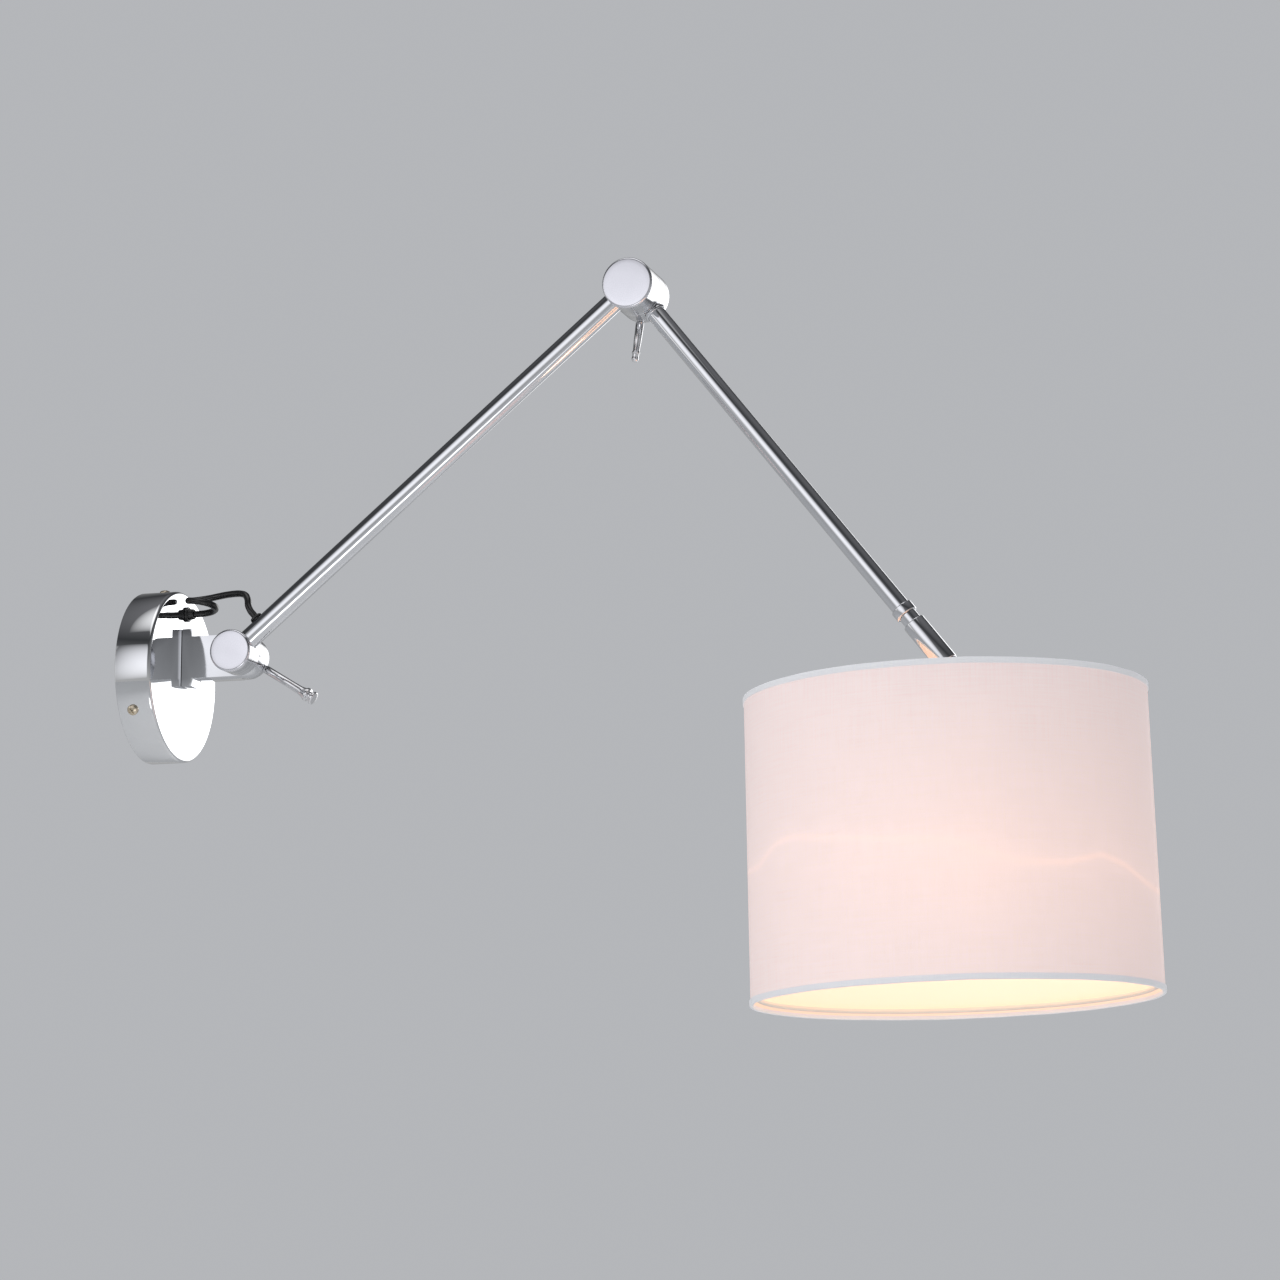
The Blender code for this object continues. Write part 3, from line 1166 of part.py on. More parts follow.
def make_wire_frame():
    """The top ring, three spokes and the hub ring that the lampholder clamps, and the loose bottom ring."""
    inset = SHADE_WALL + TRIM_WALL + 2 * GAP + WIRE_RADIUS
    top_height = SHADE_TOP - TRIM_WALL - GAP - TRIM_HEIGHT
    top_radius = shade_radius(top_height) - inset
    frame_top = ring_of_wire("shade_wire_frame", top_radius, top_height, WIRE)
    hub_low = HUB_TOP - HUB_THICKNESS
    hub = ring_profile(HOLDER_RADIUS + GAP, HUB_RADIUS, hub_low, HUB_TOP)
    join(frame_top, turned("frame_hub", hub, shade_frame, SHADE_AXIS, UPRIGHT))
    hub_middle = HUB_TOP - HUB_THICKNESS / 2
    grip = HUB_RADIUS + WIRE_RADIUS
    for number, angle in enumerate(SPOKE_ANGLES, 1):
        turn = radians(angle)
        stations = (
            (top_radius, top_height),
            (top_radius - SPOKE_OUTER_RUN, top_height - SPOKE_OUTER_DROP),
            (grip + SPOKE_INNER_RUN, hub_middle + SPOKE_INNER_RISE),
            (grip - SPOKE_HOLD, hub_middle),
        )
        points = [(SHADE_AXIS_X + r * cos(turn), r * sin(turn), h) for r, h in stations]
        join(frame_top, wire(f"spoke_{number}", points, WIRE_RADIUS, shade_frame))
    low = SHADE_TOP - SHADE_HEIGHT + TRIM_WALL + GAP + TRIM_HEIGHT
    ring_of_wire("shade_bottom_ring", shade_radius(low) - inset, low, WIRE)


# ---------------------------------------------------------------- cord


def smooth_points(route, samples):
    """Points along the Catmull-Rom curve through the route's points."""
    points = [Vector(p) for p in route]
    points = [points[0] * 2 - points[1], *points, points[-1] * 2 - points[-2]]
    found = []
    for i in range(1, len(points) - 2):
        before, start, end, after = points[i - 1 : i + 3]
        for step in range(samples):
            t = step / samples
            bend = (2 * before - 5 * start + 4 * end - after) * t**2
            twist = (3 * start - before - 3 * end + after) * t**3
            found.append((2 * start + (end - before) * t + bend + twist) / 2)
    return [*found, points[-2]]


def evenly(points, spacing):
    """Every point of the list that lies at least this far along from the last one kept, with both ends."""
    kept = [points[0]]
    travelled = 0.0
    for before, point in zip(points, points[1:]):
        travelled += (point - before).length
        if travelled >= spacing:
            kept.append(point)
            travelled = 0.0
    if (kept[-1] - points[-1]).length < spacing / 2:
        kept.pop()
    return [*kept, points[-1]]


def cord_points():
    """The cord's route from the grommet's mouth, drawn to end in the bushing wherever the lower arm is."""
    mouth = Vector((CANOPY_DEPTH + GROMMET_NOSE, GROMMET_Y, GROMMET_RISE))
    bpy.context.view_layer.update()
    bushing = base_frame.matrix_world @ Vector(CORD_END)
    route = [mouth + Vector(offset) for offset in CORD_ROUTE]
    miss = bushing - route[-1]
    last = len(route) - 1
    return [point + miss * (i / last) ** 2 for i, point in enumerate(route)]


def make_cord():
    curve = bpy.data.curves.new("cord_loop", "CURVE")
    curve.dimensions = "3D"
    curve.bevel_depth = CORD_RADIUS
    curve.bevel_resolution = 2
    curve.use_fill_caps = True
    points = evenly(smooth_points(cord_points(), CORD_SAMPLES), CORD_RADIUS * 2)
    spline = curve.splines.new("POLY")
    spline.points.add(len(points) - 1)
    for target, point in zip(spline.points, points):
        target.co = (*point, 1.0)
    place(bpy.data.objects.new("cord_loop", curve), None, (0, 0, 0), UPRIGHT, BLACK)


# ---------------------------------------------------------------- build

make_wall_plate()
make_canopy()
make_canopy_screws()
make_terminal_block()
make_earth_screw()
make_pivot_bracket()
make_foot_screws()
make_cord_grommet()
make_base_axle()
make_base_knuckle()
make_lower_tube()
make_elbow()
make_clamps()
make_upper_tube()
make_swivel()
make_hinge()
make_holder_bracket()
make_bracket_screw()
make_lampholder()
make_bulb()
make_drum()
make_trim("shade_top_trim", SHADE_TOP, True)
make_trim("shade_bottom_trim", SHADE_TOP - SHADE_HEIGHT, False)
make_wire_frame()
make_cord()
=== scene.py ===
# %% [markdown]
# # A swing arm wall sconce, finished in Blender
#
# The lamp has a chrome canopy on the wall, two chrome tubes on clamped knuckles, and a lit fabric drum shade. Its
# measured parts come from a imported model, the frame. This script doesn't move them: it gives each one a finish, and
# it remodels the ones whose edges, seams and curves should be finer than a physics model needs.

# %% The frame
import json
import math

import bpy
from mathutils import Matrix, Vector

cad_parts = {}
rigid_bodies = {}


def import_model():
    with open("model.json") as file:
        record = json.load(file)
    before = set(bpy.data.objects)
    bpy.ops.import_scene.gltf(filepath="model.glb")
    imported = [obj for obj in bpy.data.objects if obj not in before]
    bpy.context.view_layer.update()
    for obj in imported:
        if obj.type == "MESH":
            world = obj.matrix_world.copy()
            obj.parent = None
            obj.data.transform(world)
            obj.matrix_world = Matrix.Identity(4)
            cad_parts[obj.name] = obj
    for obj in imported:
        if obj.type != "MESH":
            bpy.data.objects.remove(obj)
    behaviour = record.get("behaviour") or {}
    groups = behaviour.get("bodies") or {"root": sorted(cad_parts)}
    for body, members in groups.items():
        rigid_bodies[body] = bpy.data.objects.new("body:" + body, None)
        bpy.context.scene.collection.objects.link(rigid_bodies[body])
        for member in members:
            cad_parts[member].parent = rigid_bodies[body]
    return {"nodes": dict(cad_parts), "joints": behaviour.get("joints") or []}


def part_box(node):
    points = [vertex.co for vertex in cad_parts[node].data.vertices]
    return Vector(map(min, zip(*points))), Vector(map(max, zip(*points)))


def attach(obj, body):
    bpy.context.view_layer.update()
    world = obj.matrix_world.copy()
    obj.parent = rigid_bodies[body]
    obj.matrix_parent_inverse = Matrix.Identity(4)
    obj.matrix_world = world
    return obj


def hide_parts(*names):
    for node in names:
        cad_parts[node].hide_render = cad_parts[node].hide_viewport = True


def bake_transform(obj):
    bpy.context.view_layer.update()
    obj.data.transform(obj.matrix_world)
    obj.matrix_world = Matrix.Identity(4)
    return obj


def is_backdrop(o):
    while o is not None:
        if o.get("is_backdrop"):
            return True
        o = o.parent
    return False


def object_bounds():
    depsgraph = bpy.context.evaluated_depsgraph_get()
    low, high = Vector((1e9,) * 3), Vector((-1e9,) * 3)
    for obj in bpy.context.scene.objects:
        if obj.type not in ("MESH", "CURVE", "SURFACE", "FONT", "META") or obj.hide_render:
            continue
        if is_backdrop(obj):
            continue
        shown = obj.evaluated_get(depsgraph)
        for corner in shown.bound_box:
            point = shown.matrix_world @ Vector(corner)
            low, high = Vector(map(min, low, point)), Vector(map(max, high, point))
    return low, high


MM = 0.001
for unwanted in [obj for obj in bpy.data.objects if obj.name in {"Cube", "Light", "Camera"}]:
    bpy.data.objects.remove(unwanted, do_unlink=True)
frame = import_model()
cad_box = [list(corner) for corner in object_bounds()]

# %% [markdown]
# ## Camera
#
# A long lens a good way off, below the lamp and to its right, flattens the perspective, so the arms keep their true
# lengths. The camera looks up, which shows the underside of the rims and a slice of the shade's lit inside.

# %% Camera
CAMERA_PLACE = Vector((1.0636, -2.4596, -0.4475))
CAMERA_AZIMUTH = math.radians(16.453)
CAMERA_RISE = math.radians(10.095)
LENS_MM = 115.25

camera_data = bpy.data.cameras.new("camera")
camera_data.lens = LENS_MM
camera_data.sensor_width = 36.0
camera_data.clip_start = 0.05
camera_data.clip_end = 60.0
camera = bpy.data.objects.new("camera", camera_data)
bpy.context.scene.collection.objects.link(camera)
level = math.cos(CAMERA_RISE)
sight = Vector((-math.sin(CAMERA_AZIMUTH) * level, math.cos(CAMERA_AZIMUTH) * level, math.sin(CAMERA_RISE)))
camera.location = CAMERA_PLACE
camera.rotation_mode = "QUATERNION"
camera.rotation_quaternion = sight.to_track_quat("-Z", "Y")
bpy.context.scene.camera = camera
print("camera looks along", [round(v, 3) for v in sight])

# %% [markdown]
# ## Where things are
#
# Every measure is read from the frame. A hinge's record gives its axis, and a node's box gives its thickness. The
# two arms are straight lines between the axes, so three points and two directions place almost everything.

# %% Axes and directions
joints = {joint["name"]: joint for joint in frame["joints"]}
base_axis = Vector(joints["base_pitch"]["pos_m"])
elbow_axis = Vector(joints["elbow_pitch"]["pos_m"])
upper_way = Vector(joints["head_swivel"]["axis"]).normalized()
lower_way = Vector((elbow_axis.x - base_axis.x, 0.0, elbow_axis.z - base_axis.z)).normalized()
lower_length = (Vector((elbow_axis.x, 0, elbow_axis.z)) - Vector((base_axis.x, 0, base_axis.z))).length
ACROSS = Vector((0.0, 1.0, 0.0))
OUT = Vector((1.0, 0.0, 0.0))


def low(node, axis):
    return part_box(node)[0][axis]


def high(node, axis):
    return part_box(node)[1][axis]


def middle(node):
    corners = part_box(node)
    return (corners[0] + corners[1]) / 2


def across_size(node):
    """A node's size along X, which is the diameter of a part that stands across the lamp."""
    return high(node, 0) - low(node, 0)


print("lower arm", round(lower_length / MM, 1), "mm at", [round(v, 3) for v in lower_way])
print("upper arm along", [round(v, 3) for v in upper_way])

# %% [markdown]
# ## Shader maths in plain Python
#
# A material is a graph of nodes. `Wire` wraps one socket, so that `1 - mask * 0.3` writes its own Math nodes.
# `Graph` adds any other node by its type, and `Finish` is the graph of one material. Patterns read Object
# coordinates, which is right for pieces whose place is in their mesh: a scratch then stays on its part.


# %% Shader helpers
class Wire:
    """A number that varies over a surface."""

    def __init__(self, graph, socket):
        self.graph = graph
        self.socket = socket

    def _math(self, operation, *values):
        return self.graph.node("ShaderNodeMath", {"operation": operation}, dict(enumerate(values)))

    def __add__(self, other):
        return self._math("ADD", self, other)

    def __sub__(self, other):
        return self._math("SUBTRACT", self, other)

    def __mul__(self, other):
        return self._math("MULTIPLY", self, other)

    __radd__ = __add__
    __rmul__ = __mul__

    def __rsub__(self, other):
        return self._math("SUBTRACT", other, self)

    def power(self, exponent):
        return self._math("POWER", self, exponent)

    def sine(self):
        return self._math("SINE", self)

    def size(self):
        return self._math("ABSOLUTE", self)

    def clamped(self):
        return self._math("MINIMUM", self._math("MAXIMUM", self, 0.0), 1.0)


class Graph:
    """A tree of nodes: a material's, a lamp's or the world's."""

    def __init__(self, tree):
        self.tree = tree

    def node(self, kind, settings, values, output=0):
        """Adds a node, sets it, joins its sockets, and returns one of its outputs."""
        made = self.tree.nodes.new(kind)
        for name, value in settings.items():
            if name == "stops":
                self._set_stops(made, value)
            else:
                setattr(made, name, value)
        for name, value in values.items():
            self.join(made.inputs[name], value)
        return Wire(self, made.outputs[output])

    def _set_stops(self, ramp, stops):
        elements = ramp.color_ramp.elements
        while len(elements) < len(stops):
            elements.new(1.0)
        for element, (position, colour) in zip(elements, stops):
            element.position = position
            element.color = (*colour, 1.0)

    def join(self, socket, value):
        if isinstance(value, Wire):
            self.tree.links.new(value.socket, socket)
        else:
            socket.default_value = value


class Finish(Graph):
    """A material that is being made."""

    def __init__(self, name):
        self.material = bpy.data.materials.new(name)
        self.material.use_nodes = True
        super().__init__(self.material.node_tree)
        self.shader = self.tree.nodes["Principled BSDF"]
        self.place = self.node("ShaderNodeTexCoord", {}, {}, "Object")

    def set(self, **values):
        """Sets the shader's own sockets, such as base_color or roughness."""
        for name, value in values.items():
            self.join(self.shader.inputs[name.replace("_", " ").title()], value)
        return self

    def noise(self, scale, detail=2.0, roughness=0.5, vector=None):
        values = {"Scale": scale, "Detail": detail, "Roughness": roughness, "Vector": vector or self.place}
        return self.node("ShaderNodeTexNoise", {}, values)

    def stretched(self, factors):
        """The object's coordinates, scaled by a different factor along each axis."""
        return self.node("ShaderNodeMapping", {}, {"Vector": self.place, "Scale": factors})

    def along(self, axis):
        """One of the object's coordinates, in metres."""
        return self.node("ShaderNodeSeparateXYZ", {}, {"Vector": self.place}, axis)

    def blend(self, share, first, second):
        """A colour between two colours."""
        settings = {"data_type": "RGBA"}
        return self.node("ShaderNodeMix", settings, {0: share, 6: first, 7: second}, 2)

    def bump(self, height, distance, strength=1.0):
        values = {"Height": height, "Distance": distance, "Strength": strength}
        return self.node("ShaderNodeBump", {}, values, "Normal")


def colour(red, green, blue):
    return (red, green, blue, 1.0)


# %% [markdown]
# ## Chrome
#
# Chrome plate is a mirror, so most of its look is what it reflects. What makes it real up close is small: faint
# wiping marks, a haze where hands touch it, and long soft waves left by polishing. Those go into the roughness and
# a very shallow bump. Turned parts, such as the knuckles, also keep fine rings from the lathe.


# %% Chrome finishes
def chrome(name, tint, least, haze, wave_depth, rings=None):
    """Polished chrome. rings is the pitch in metres of lathe marks along Y, for turned parts."""
    finish = Finish(name)
    cloud = finish.noise(38.0, 3.0)
    wipes = finish.noise(420.0, 2.0, vector=finish.stretched((1.0, 0.12, 0.35)))
    dust = finish.noise(1300.0, 1.0)
    marks = (wipes - 0.52).clamped() * 0.5 + (dust - 0.70).clamped() * 0.5
    roughness = cloud.power(2.0) * haze + marks * haze + least
    shallow = finish.noise(55.0, 1.0)
    tarnish = cloud
    if rings:
        lathe = (finish.along(1) * (2 * math.pi / rings)).sine()
        uneven = finish.noise(140.0, 2.0, vector=finish.stretched((0.05, 9.0, 0.05)))
        roughness = roughness + lathe.size() * 0.05 + (uneven - 0.5).clamped() * 0.3
        shallow = shallow + lathe * 0.10 + uneven * 0.6
        tarnish = (cloud * 0.3 + (uneven - 0.35).clamped() * 2.2 + lathe.size() * 0.2).clamped()
    darker = colour(*(part * (0.62 if rings else 0.86) for part in tint))
    finish.set(
        base_color=finish.blend(tarnish, colour(*tint), darker),
        metallic=1.0,
        roughness=roughness.clamped(),
        normal=finish.bump(shallow, wave_depth),
    )
    return finish.material


CHROME_TINT = (0.80, 0.81, 0.84)
polished = chrome("polished_chrome", CHROME_TINT, 0.04, 0.05, 0.00002)
canopy_chrome = chrome("canopy_chrome", (0.84, 0.85, 0.87), 0.010, 0.03, 0.00002)
turned_chrome = chrome("turned_chrome", (0.84, 0.85, 0.88), 0.07, 0.10, 0.00003, rings=0.0012)
slim_chrome = chrome("slim_rod_chrome", (0.84, 0.84, 0.86), 0.12, 0.05, 0.00001)
satin_cap = chrome("satin_cap_chrome", (0.78, 0.78, 0.83), 0.16, 0.10, 0.00002)
print("chrome finishes:", [m.name for m in (polished, canopy_chrome, turned_chrome, slim_chrome, satin_cap)])

# %% [markdown]
# ## Other metals, plastics and the cord's sheath
#
# The wall plate and inner screws are zinc plated: a grey metal with a fine crystalline spangle. The rim screws have
# a warm nickel tone. The lampholder is moulded plastic with a faint orange peel, and the cord's sheath is glossy
# black with slight dents along its length.


# %% Hardware finishes
def plated(name, light, dark, roughness, grain):
    """Zinc, nickel or brass: two tones in small cells, and a roughness that follows them."""
    finish = Finish(name)
    cells = finish.node("ShaderNodeTexVoronoi", {}, {"Scale": grain, "Vector": finish.place}, "Distance")
    cloud = finish.noise(grain * 0.3, 3.0)
    finish.set(
        base_color=finish.blend(cloud, colour(*light), colour(*dark)),
        metallic=1.0,
        roughness=(cells * 0.25 + roughness).clamped(),
        normal=finish.bump(cells, 0.00002),
    )
    return finish.material


def moulded(name, light, dark, roughness, peel):
    """Plastic from a mould: an almost even colour, a fine skin texture and a slightly uneven gloss."""
    finish = Finish(name)
    skin = finish.noise(peel, 2.0)
    cloud = finish.noise(60.0, 3.0)
    finish.set(
        base_color=finish.blend(cloud, colour(*light), colour(*dark)),
        roughness=(cloud * 0.15 + roughness).clamped(),
        normal=finish.bump(skin, 0.00004),
    )
    return finish.material


zinc = plated("zinc_plate", (0.62, 0.62, 0.60), (0.48, 0.49, 0.48), 0.28, 900.0)
nickel = plated("warm_nickel", (0.76, 0.68, 0.54), (0.52, 0.43, 0.32), 0.12, 1500.0)
brass = plated("spun_brass", (0.80, 0.62, 0.30), (0.62, 0.45, 0.19), 0.22, 1200.0)
nylon = moulded("white_nylon_finish", (0.80, 0.79, 0.74), (0.72, 0.71, 0.66), 0.42, 2200.0)
holder_white = moulded("lampholder_white", (0.90, 0.88, 0.84), (0.83, 0.81, 0.77), 0.25, 1400.0)
wire_white = moulded("white_wire_enamel", (0.92, 0.88, 0.80), (0.86, 0.82, 0.74), 0.30, 1800.0)
black_moulding = moulded("black_moulding", (0.014, 0.014, 0.015), (0.022, 0.022, 0.023), 0.30, 2400.0)
black_sheath = moulded("black_sheath", (0.010, 0.010, 0.011), (0.018, 0.018, 0.019), 0.14, 1100.0)
print("hardware finishes made")

# %% [markdown]
# ## Fabric, tape and liner
#
# The shade is a fine linen-like cloth laminated to a stiff plastic liner, with a folded tape along each rim. It is
# lit from inside, and that light is painted into the cloth, the tapes and the liner as emission: a pale pink glow
# at the sides, a warmer painted pool of light in the lower half, where the bulb hangs, and a painted caustic, one
# thin bright wavy line of light across the cloth. The weave follows the cloth's own UV map, in which one unit is
# one metre.

# %% Cloth finishes
THREAD_PITCH = 0.00062
GLOW = 0.37
# Painted caustic: the height of a thin bright line of light, as a share of the drum, at each place across the shade.
PAINTED_CAUSTIC_LINE = tuple(
    (share, (rise, rise, rise))
    for share, rise in (
        (0.09, 0.41),
        (0.15, 0.465),
        (0.20, 0.480),
        (0.27, 0.467),
        (0.41, 0.449),
        (0.60, 0.437),
        (0.685, 0.397),
        (0.75, 0.377),
        (0.84, 0.378),
        (0.91, 0.412),
        (0.95, 0.390),
        (1.00, 0.325),
    )
)
shade_foot_z = low("shade_drum", 2)
shade_head_z = high("shade_drum", 2)
shade_middle = middle("shade_drum")


def woven(name, light, dark, pitch, depth):
    """Plain weave on the UV map: two sets of threads that pass over and under each other, and slubs."""
    finish = Finish(name)
    cloth = finish.node("ShaderNodeTexCoord", {}, {}, "UV")
    turn = 2 * math.pi / pitch
    across = finish.node("ShaderNodeSeparateXYZ", {}, {"Vector": cloth}, 0)
    along = finish.node("ShaderNodeSeparateXYZ", {}, {"Vector": cloth}, 1)
    wander = finish.noise(420.0, 2.0, vector=cloth) * 1.6
    warp = (across * turn + wander).sine()
    weft = (along * turn + wander).sine()
    crossing = (across * (turn / 2)).sine() * (along * (turn / 2)).sine()
    slub_along = finish.node("ShaderNodeMapping", {}, {"Vector": cloth, "Scale": (30.0, 900.0, 1.0)})
    slub_across = finish.node("ShaderNodeMapping", {}, {"Vector": cloth, "Scale": (900.0, 30.0, 1.0)})
    slubs = finish.noise(1.0, 2.0, vector=slub_along) + finish.noise(1.0, 2.0, vector=slub_across) - 1.0
    threads = warp.size() * 0.5 + weft.size() * 0.5
    height = threads + crossing * 0.35 + slubs * 0.9
    shade = (threads * 0.45 + slubs * 0.8 + 0.25).clamped()
    finish.set(
        base_color=finish.blend(shade, colour(*light), colour(*dark)),
        roughness=(slubs * 0.1 + 0.86).clamped(),
        sheen_weight=0.25,
        sheen_roughness=0.4,
        normal=finish.bump(height, depth, 0.6),
    )
    return finish, threads * 0.10 + slubs * 0.16


# The cloth's weave, with the bulb's light through it painted in as emission.
def linen_cloth():
    finish, thread_shadow = woven("shade_linen", (0.90, 0.815, 0.805), (0.82, 0.735, 0.725), THREAD_PITCH, 0.00012)
    height = shade_head_z - shade_foot_z
    rise = (finish.along(2) - shade_foot_z) * (1.0 / height)
    side = (finish.along(0) - shade_middle.x) * (1.0 / (across_size("shade_drum") / 2))
    # Painted pool of the bulb's light: strongest a little below mid-height and right of the middle.
    warm = (1.0 - (rise - 0.38).size() * 1.7).clamped()
    centre = (1.0 - (side - 0.30).size() * 0.62).clamped()
    # Painted caustic: a thin bright line of light with a faint painted halo, where the rise meets the table above.
    caustic_rise = finish.node("ShaderNodeValToRGB", {"stops": PAINTED_CAUSTIC_LINE}, {"Fac": side * 0.5 + 0.5})
    off_caustic = (rise - caustic_rise).size()
    caustic_line = (1.0 - off_caustic * 75.0).clamped()
    caustic_halo = (1.0 - off_caustic * 14.0).clamped()
    patchy = finish.noise(9.0, 2.0) * 0.10
    strength = (warm * centre * 0.25 + caustic_line * 0.10 + caustic_halo * 0.05 + 0.74 - thread_shadow + patchy).clamped()
    # Colours of the painted glow: pink at the sides, amber in the painted pool of light and on the caustic.
    pink = colour(GLOW * 1.03, GLOW * 0.74, GLOW * 0.69)
    amber = colour(GLOW * 1.42, GLOW * 0.84, GLOW * 0.63)
    tone = finish.blend((warm * centre * 0.75 + caustic_line * 0.6 + 0.05).clamped(), pink, amber)
    finish.set(
        emission_color=finish.blend(strength, colour(0.0, 0.0, 0.0), tone),
        emission_strength=1.0,
    )
    return finish.material


def rim_tape():
    finish, thread_shadow = woven("rim_tape_cloth", (0.86, 0.875, 0.90), (0.78, 0.80, 0.83), 0.0005, 0.00010)
    # Painted glow: the bulb's light through the tape, dimmer where the threads are thick.
    finish.set(
        emission_color=finish.blend(thread_shadow.clamped(), colour(0.155, 0.145, 0.145), colour(0.11, 0.10, 0.10)),
        emission_strength=1.0,
    )
    return finish.material


def liner_plastic():
    """The stiff liner: smooth warm plastic, with a painted glow of the bulb's light that is brightest round the bulb.
    """
    finish = Finish("warm_liner")
    height = shade_head_z - shade_foot_z
    rise = (finish.along(2) - shade_foot_z) * (1.0 / height)
    near_bulb = (1.0 - (rise - 0.42).size() * 1.4).clamped()
    skin = finish.noise(700.0, 2.0)
    # Painted glow of the bulb's light on the liner, brightest at the bulb's height.
    finish.set(
        base_color=finish.blend(skin, colour(0.93, 0.77, 0.67), colour(0.88, 0.72, 0.62)),
        roughness=(skin * 0.12 + 0.48).clamped(),
        emission_color=finish.blend(near_bulb, colour(0.36, 0.235, 0.165), colour(0.50, 0.335, 0.245)),
        emission_strength=1.0,
        normal=finish.bump(skin, 0.00003),
    )
    return finish.material


def lit_glass():
    """Opal glass with the light on: brighter in its globe than in its neck."""
    finish = Finish("lit_opal_glass")
    rise = (finish.along(2) - low("bulb_glass", 2)) * (1.0 / (high("bulb_glass", 2) - low("bulb_glass", 2)))
    milk = finish.noise(90.0, 2.0)
    share = (rise.power(1.5) + milk * 0.1).clamped()
    finish.set(
        base_color=finish.blend(milk, colour(0.98, 0.95, 0.88), colour(0.93, 0.89, 0.81)),
        roughness=(milk * 0.1 + 0.12).clamped(),
        emission_color=finish.blend(share, colour(1.0, 0.76, 0.60), colour(0.75, 0.54, 0.38)),
        emission_strength=3.2,
    )
    return finish.material


linen = linen_cloth()
tape = rim_tape()
liner_finish = liner_plastic()
opal = lit_glass()
print("cloth pitch", round(THREAD_PITCH / MM, 2), "mm")

# %% [markdown]
# ## A modelling bench
#
# By hand, a turned part starts as a circle that is extruded and scaled ring by ring, then its sharp corners are
# bevelled. `turned` does the same with operators: each station is a radius and a distance along the part's axis.
# Because every ring is one extrude, the list reads like a lathe drawing. `settle` applies the object's place to its
# mesh, which keeps patterns and poses right.


# %% Bench tools
def clear_selection():
    if bpy.context.object and bpy.context.object.mode != "OBJECT":
        bpy.ops.object.mode_set(mode="OBJECT")
    bpy.ops.object.select_all(action="DESELECT")


def only(obj):
    clear_selection()
    obj.select_set(True)
    bpy.context.view_layer.objects.active = obj


def edit(obj, domain="FACE"):
    only(obj)
    bpy.ops.object.mode_set(mode="EDIT")
    bpy.ops.mesh.select_mode(type=domain)
    bpy.ops.mesh.select_all(action="DESELECT")


def leave():
    bpy.ops.object.mode_set(mode="OBJECT")


def pick(obj, kind, test):
    """Selects the faces, edges or vertices that pass a test, from object mode, and returns their number."""
    leave()
    found = 0
    for item in getattr(obj.data, kind):
        item.select = bool(test(item))
        found += item.select
    bpy.ops.object.mode_set(mode="EDIT")
    return found


def axis_turn(direction):
    """The rotation that points an object's own Z along a direction."""
    return direction.to_track_quat("Z", "Y").to_euler()


def apply_modifiers(obj):
    only(obj)
    for modifier in list(obj.modifiers):
        bpy.ops.object.modifier_apply(modifier=modifier.name)


def settle(obj, material, smooth=35.0):
    """Puts the object's place into its mesh, smooths it and gives it its finish."""
    only(obj)
    bpy.ops.object.transform_apply(location=True, rotation=True, scale=True)
    edit(obj)
    bpy.ops.mesh.select_all(action="SELECT")
    bpy.ops.mesh.remove_doubles(threshold=0.000002)
    bpy.ops.mesh.normals_make_consistent(inside=False)
    leave()
    bpy.ops.object.shade_smooth_by_angle(angle=math.radians(smooth))
    obj.data.materials.clear()
    obj.data.materials.append(material)
    return obj


def fit(obj, body, slot, *nodes):
    """The piece rides on a body and stands for the named parts of the frame. slot is not used."""
    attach(obj, body)
    if nodes:
        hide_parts(*nodes)
    print(f"{obj.name}: {len(obj.data.polygons)} faces, rides on {body}")
    return obj


def turned(name, stations, place, direction, sides=96):
    """Extrudes and scales a circle through (radius, distance) stations. A first radius of 0 closes that end."""
    clear_selection()
    starts_on_axis = stations[0][0] == 0.0
    if starts_on_axis:
        stations = stations[1:]
    radius, along = stations[0]
    fill = "TRIFAN" if starts_on_axis else "NOTHING"
    bpy.ops.mesh.primitive_circle_add(vertices=sides, radius=radius, fill_type=fill)
    obj = bpy.context.object
    obj.name = name
    obj.data.name = name
    obj.location = place
    obj.rotation_mode = "XYZ"
    obj.rotation_euler = axis_turn(direction)
    only(obj)
    bpy.ops.object.mode_set(mode="EDIT")
    bpy.ops.mesh.select_mode(type="EDGE")
    bpy.ops.mesh.select_all(action="SELECT")
    bpy.ops.transform.translate(value=(0, 0, along), orient_type="LOCAL")
    if starts_on_axis:
        bpy.ops.mesh.region_to_loop()
    for next_radius, next_along in stations[1:]:
        bpy.ops.mesh.extrude_region_move(TRANSFORM_OT_translate={"value": (0, 0, 0)})
        grow = max(next_radius, 0.0000001) / max(radius, 0.0000001)
        bpy.ops.transform.resize(value=(grow, grow, 1.0), orient_type="LOCAL", center_override=tuple(place))
        bpy.ops.transform.translate(value=(0, 0, next_along - along), orient_type="LOCAL")
        radius, along = next_radius, next_along
    leave()
    return obj


def rounded(corner, radius, start, end, steps=5):
    """Stations round an arc about a centre (radius, distance), for a rolled or rounded edge."""
    angles = [math.radians(start + (end - start) * i / steps) for i in range(steps + 1)]
    return [(corner[0] + radius * math.cos(a), corner[1] + radius * math.sin(a)) for a in angles]


print("bench ready")
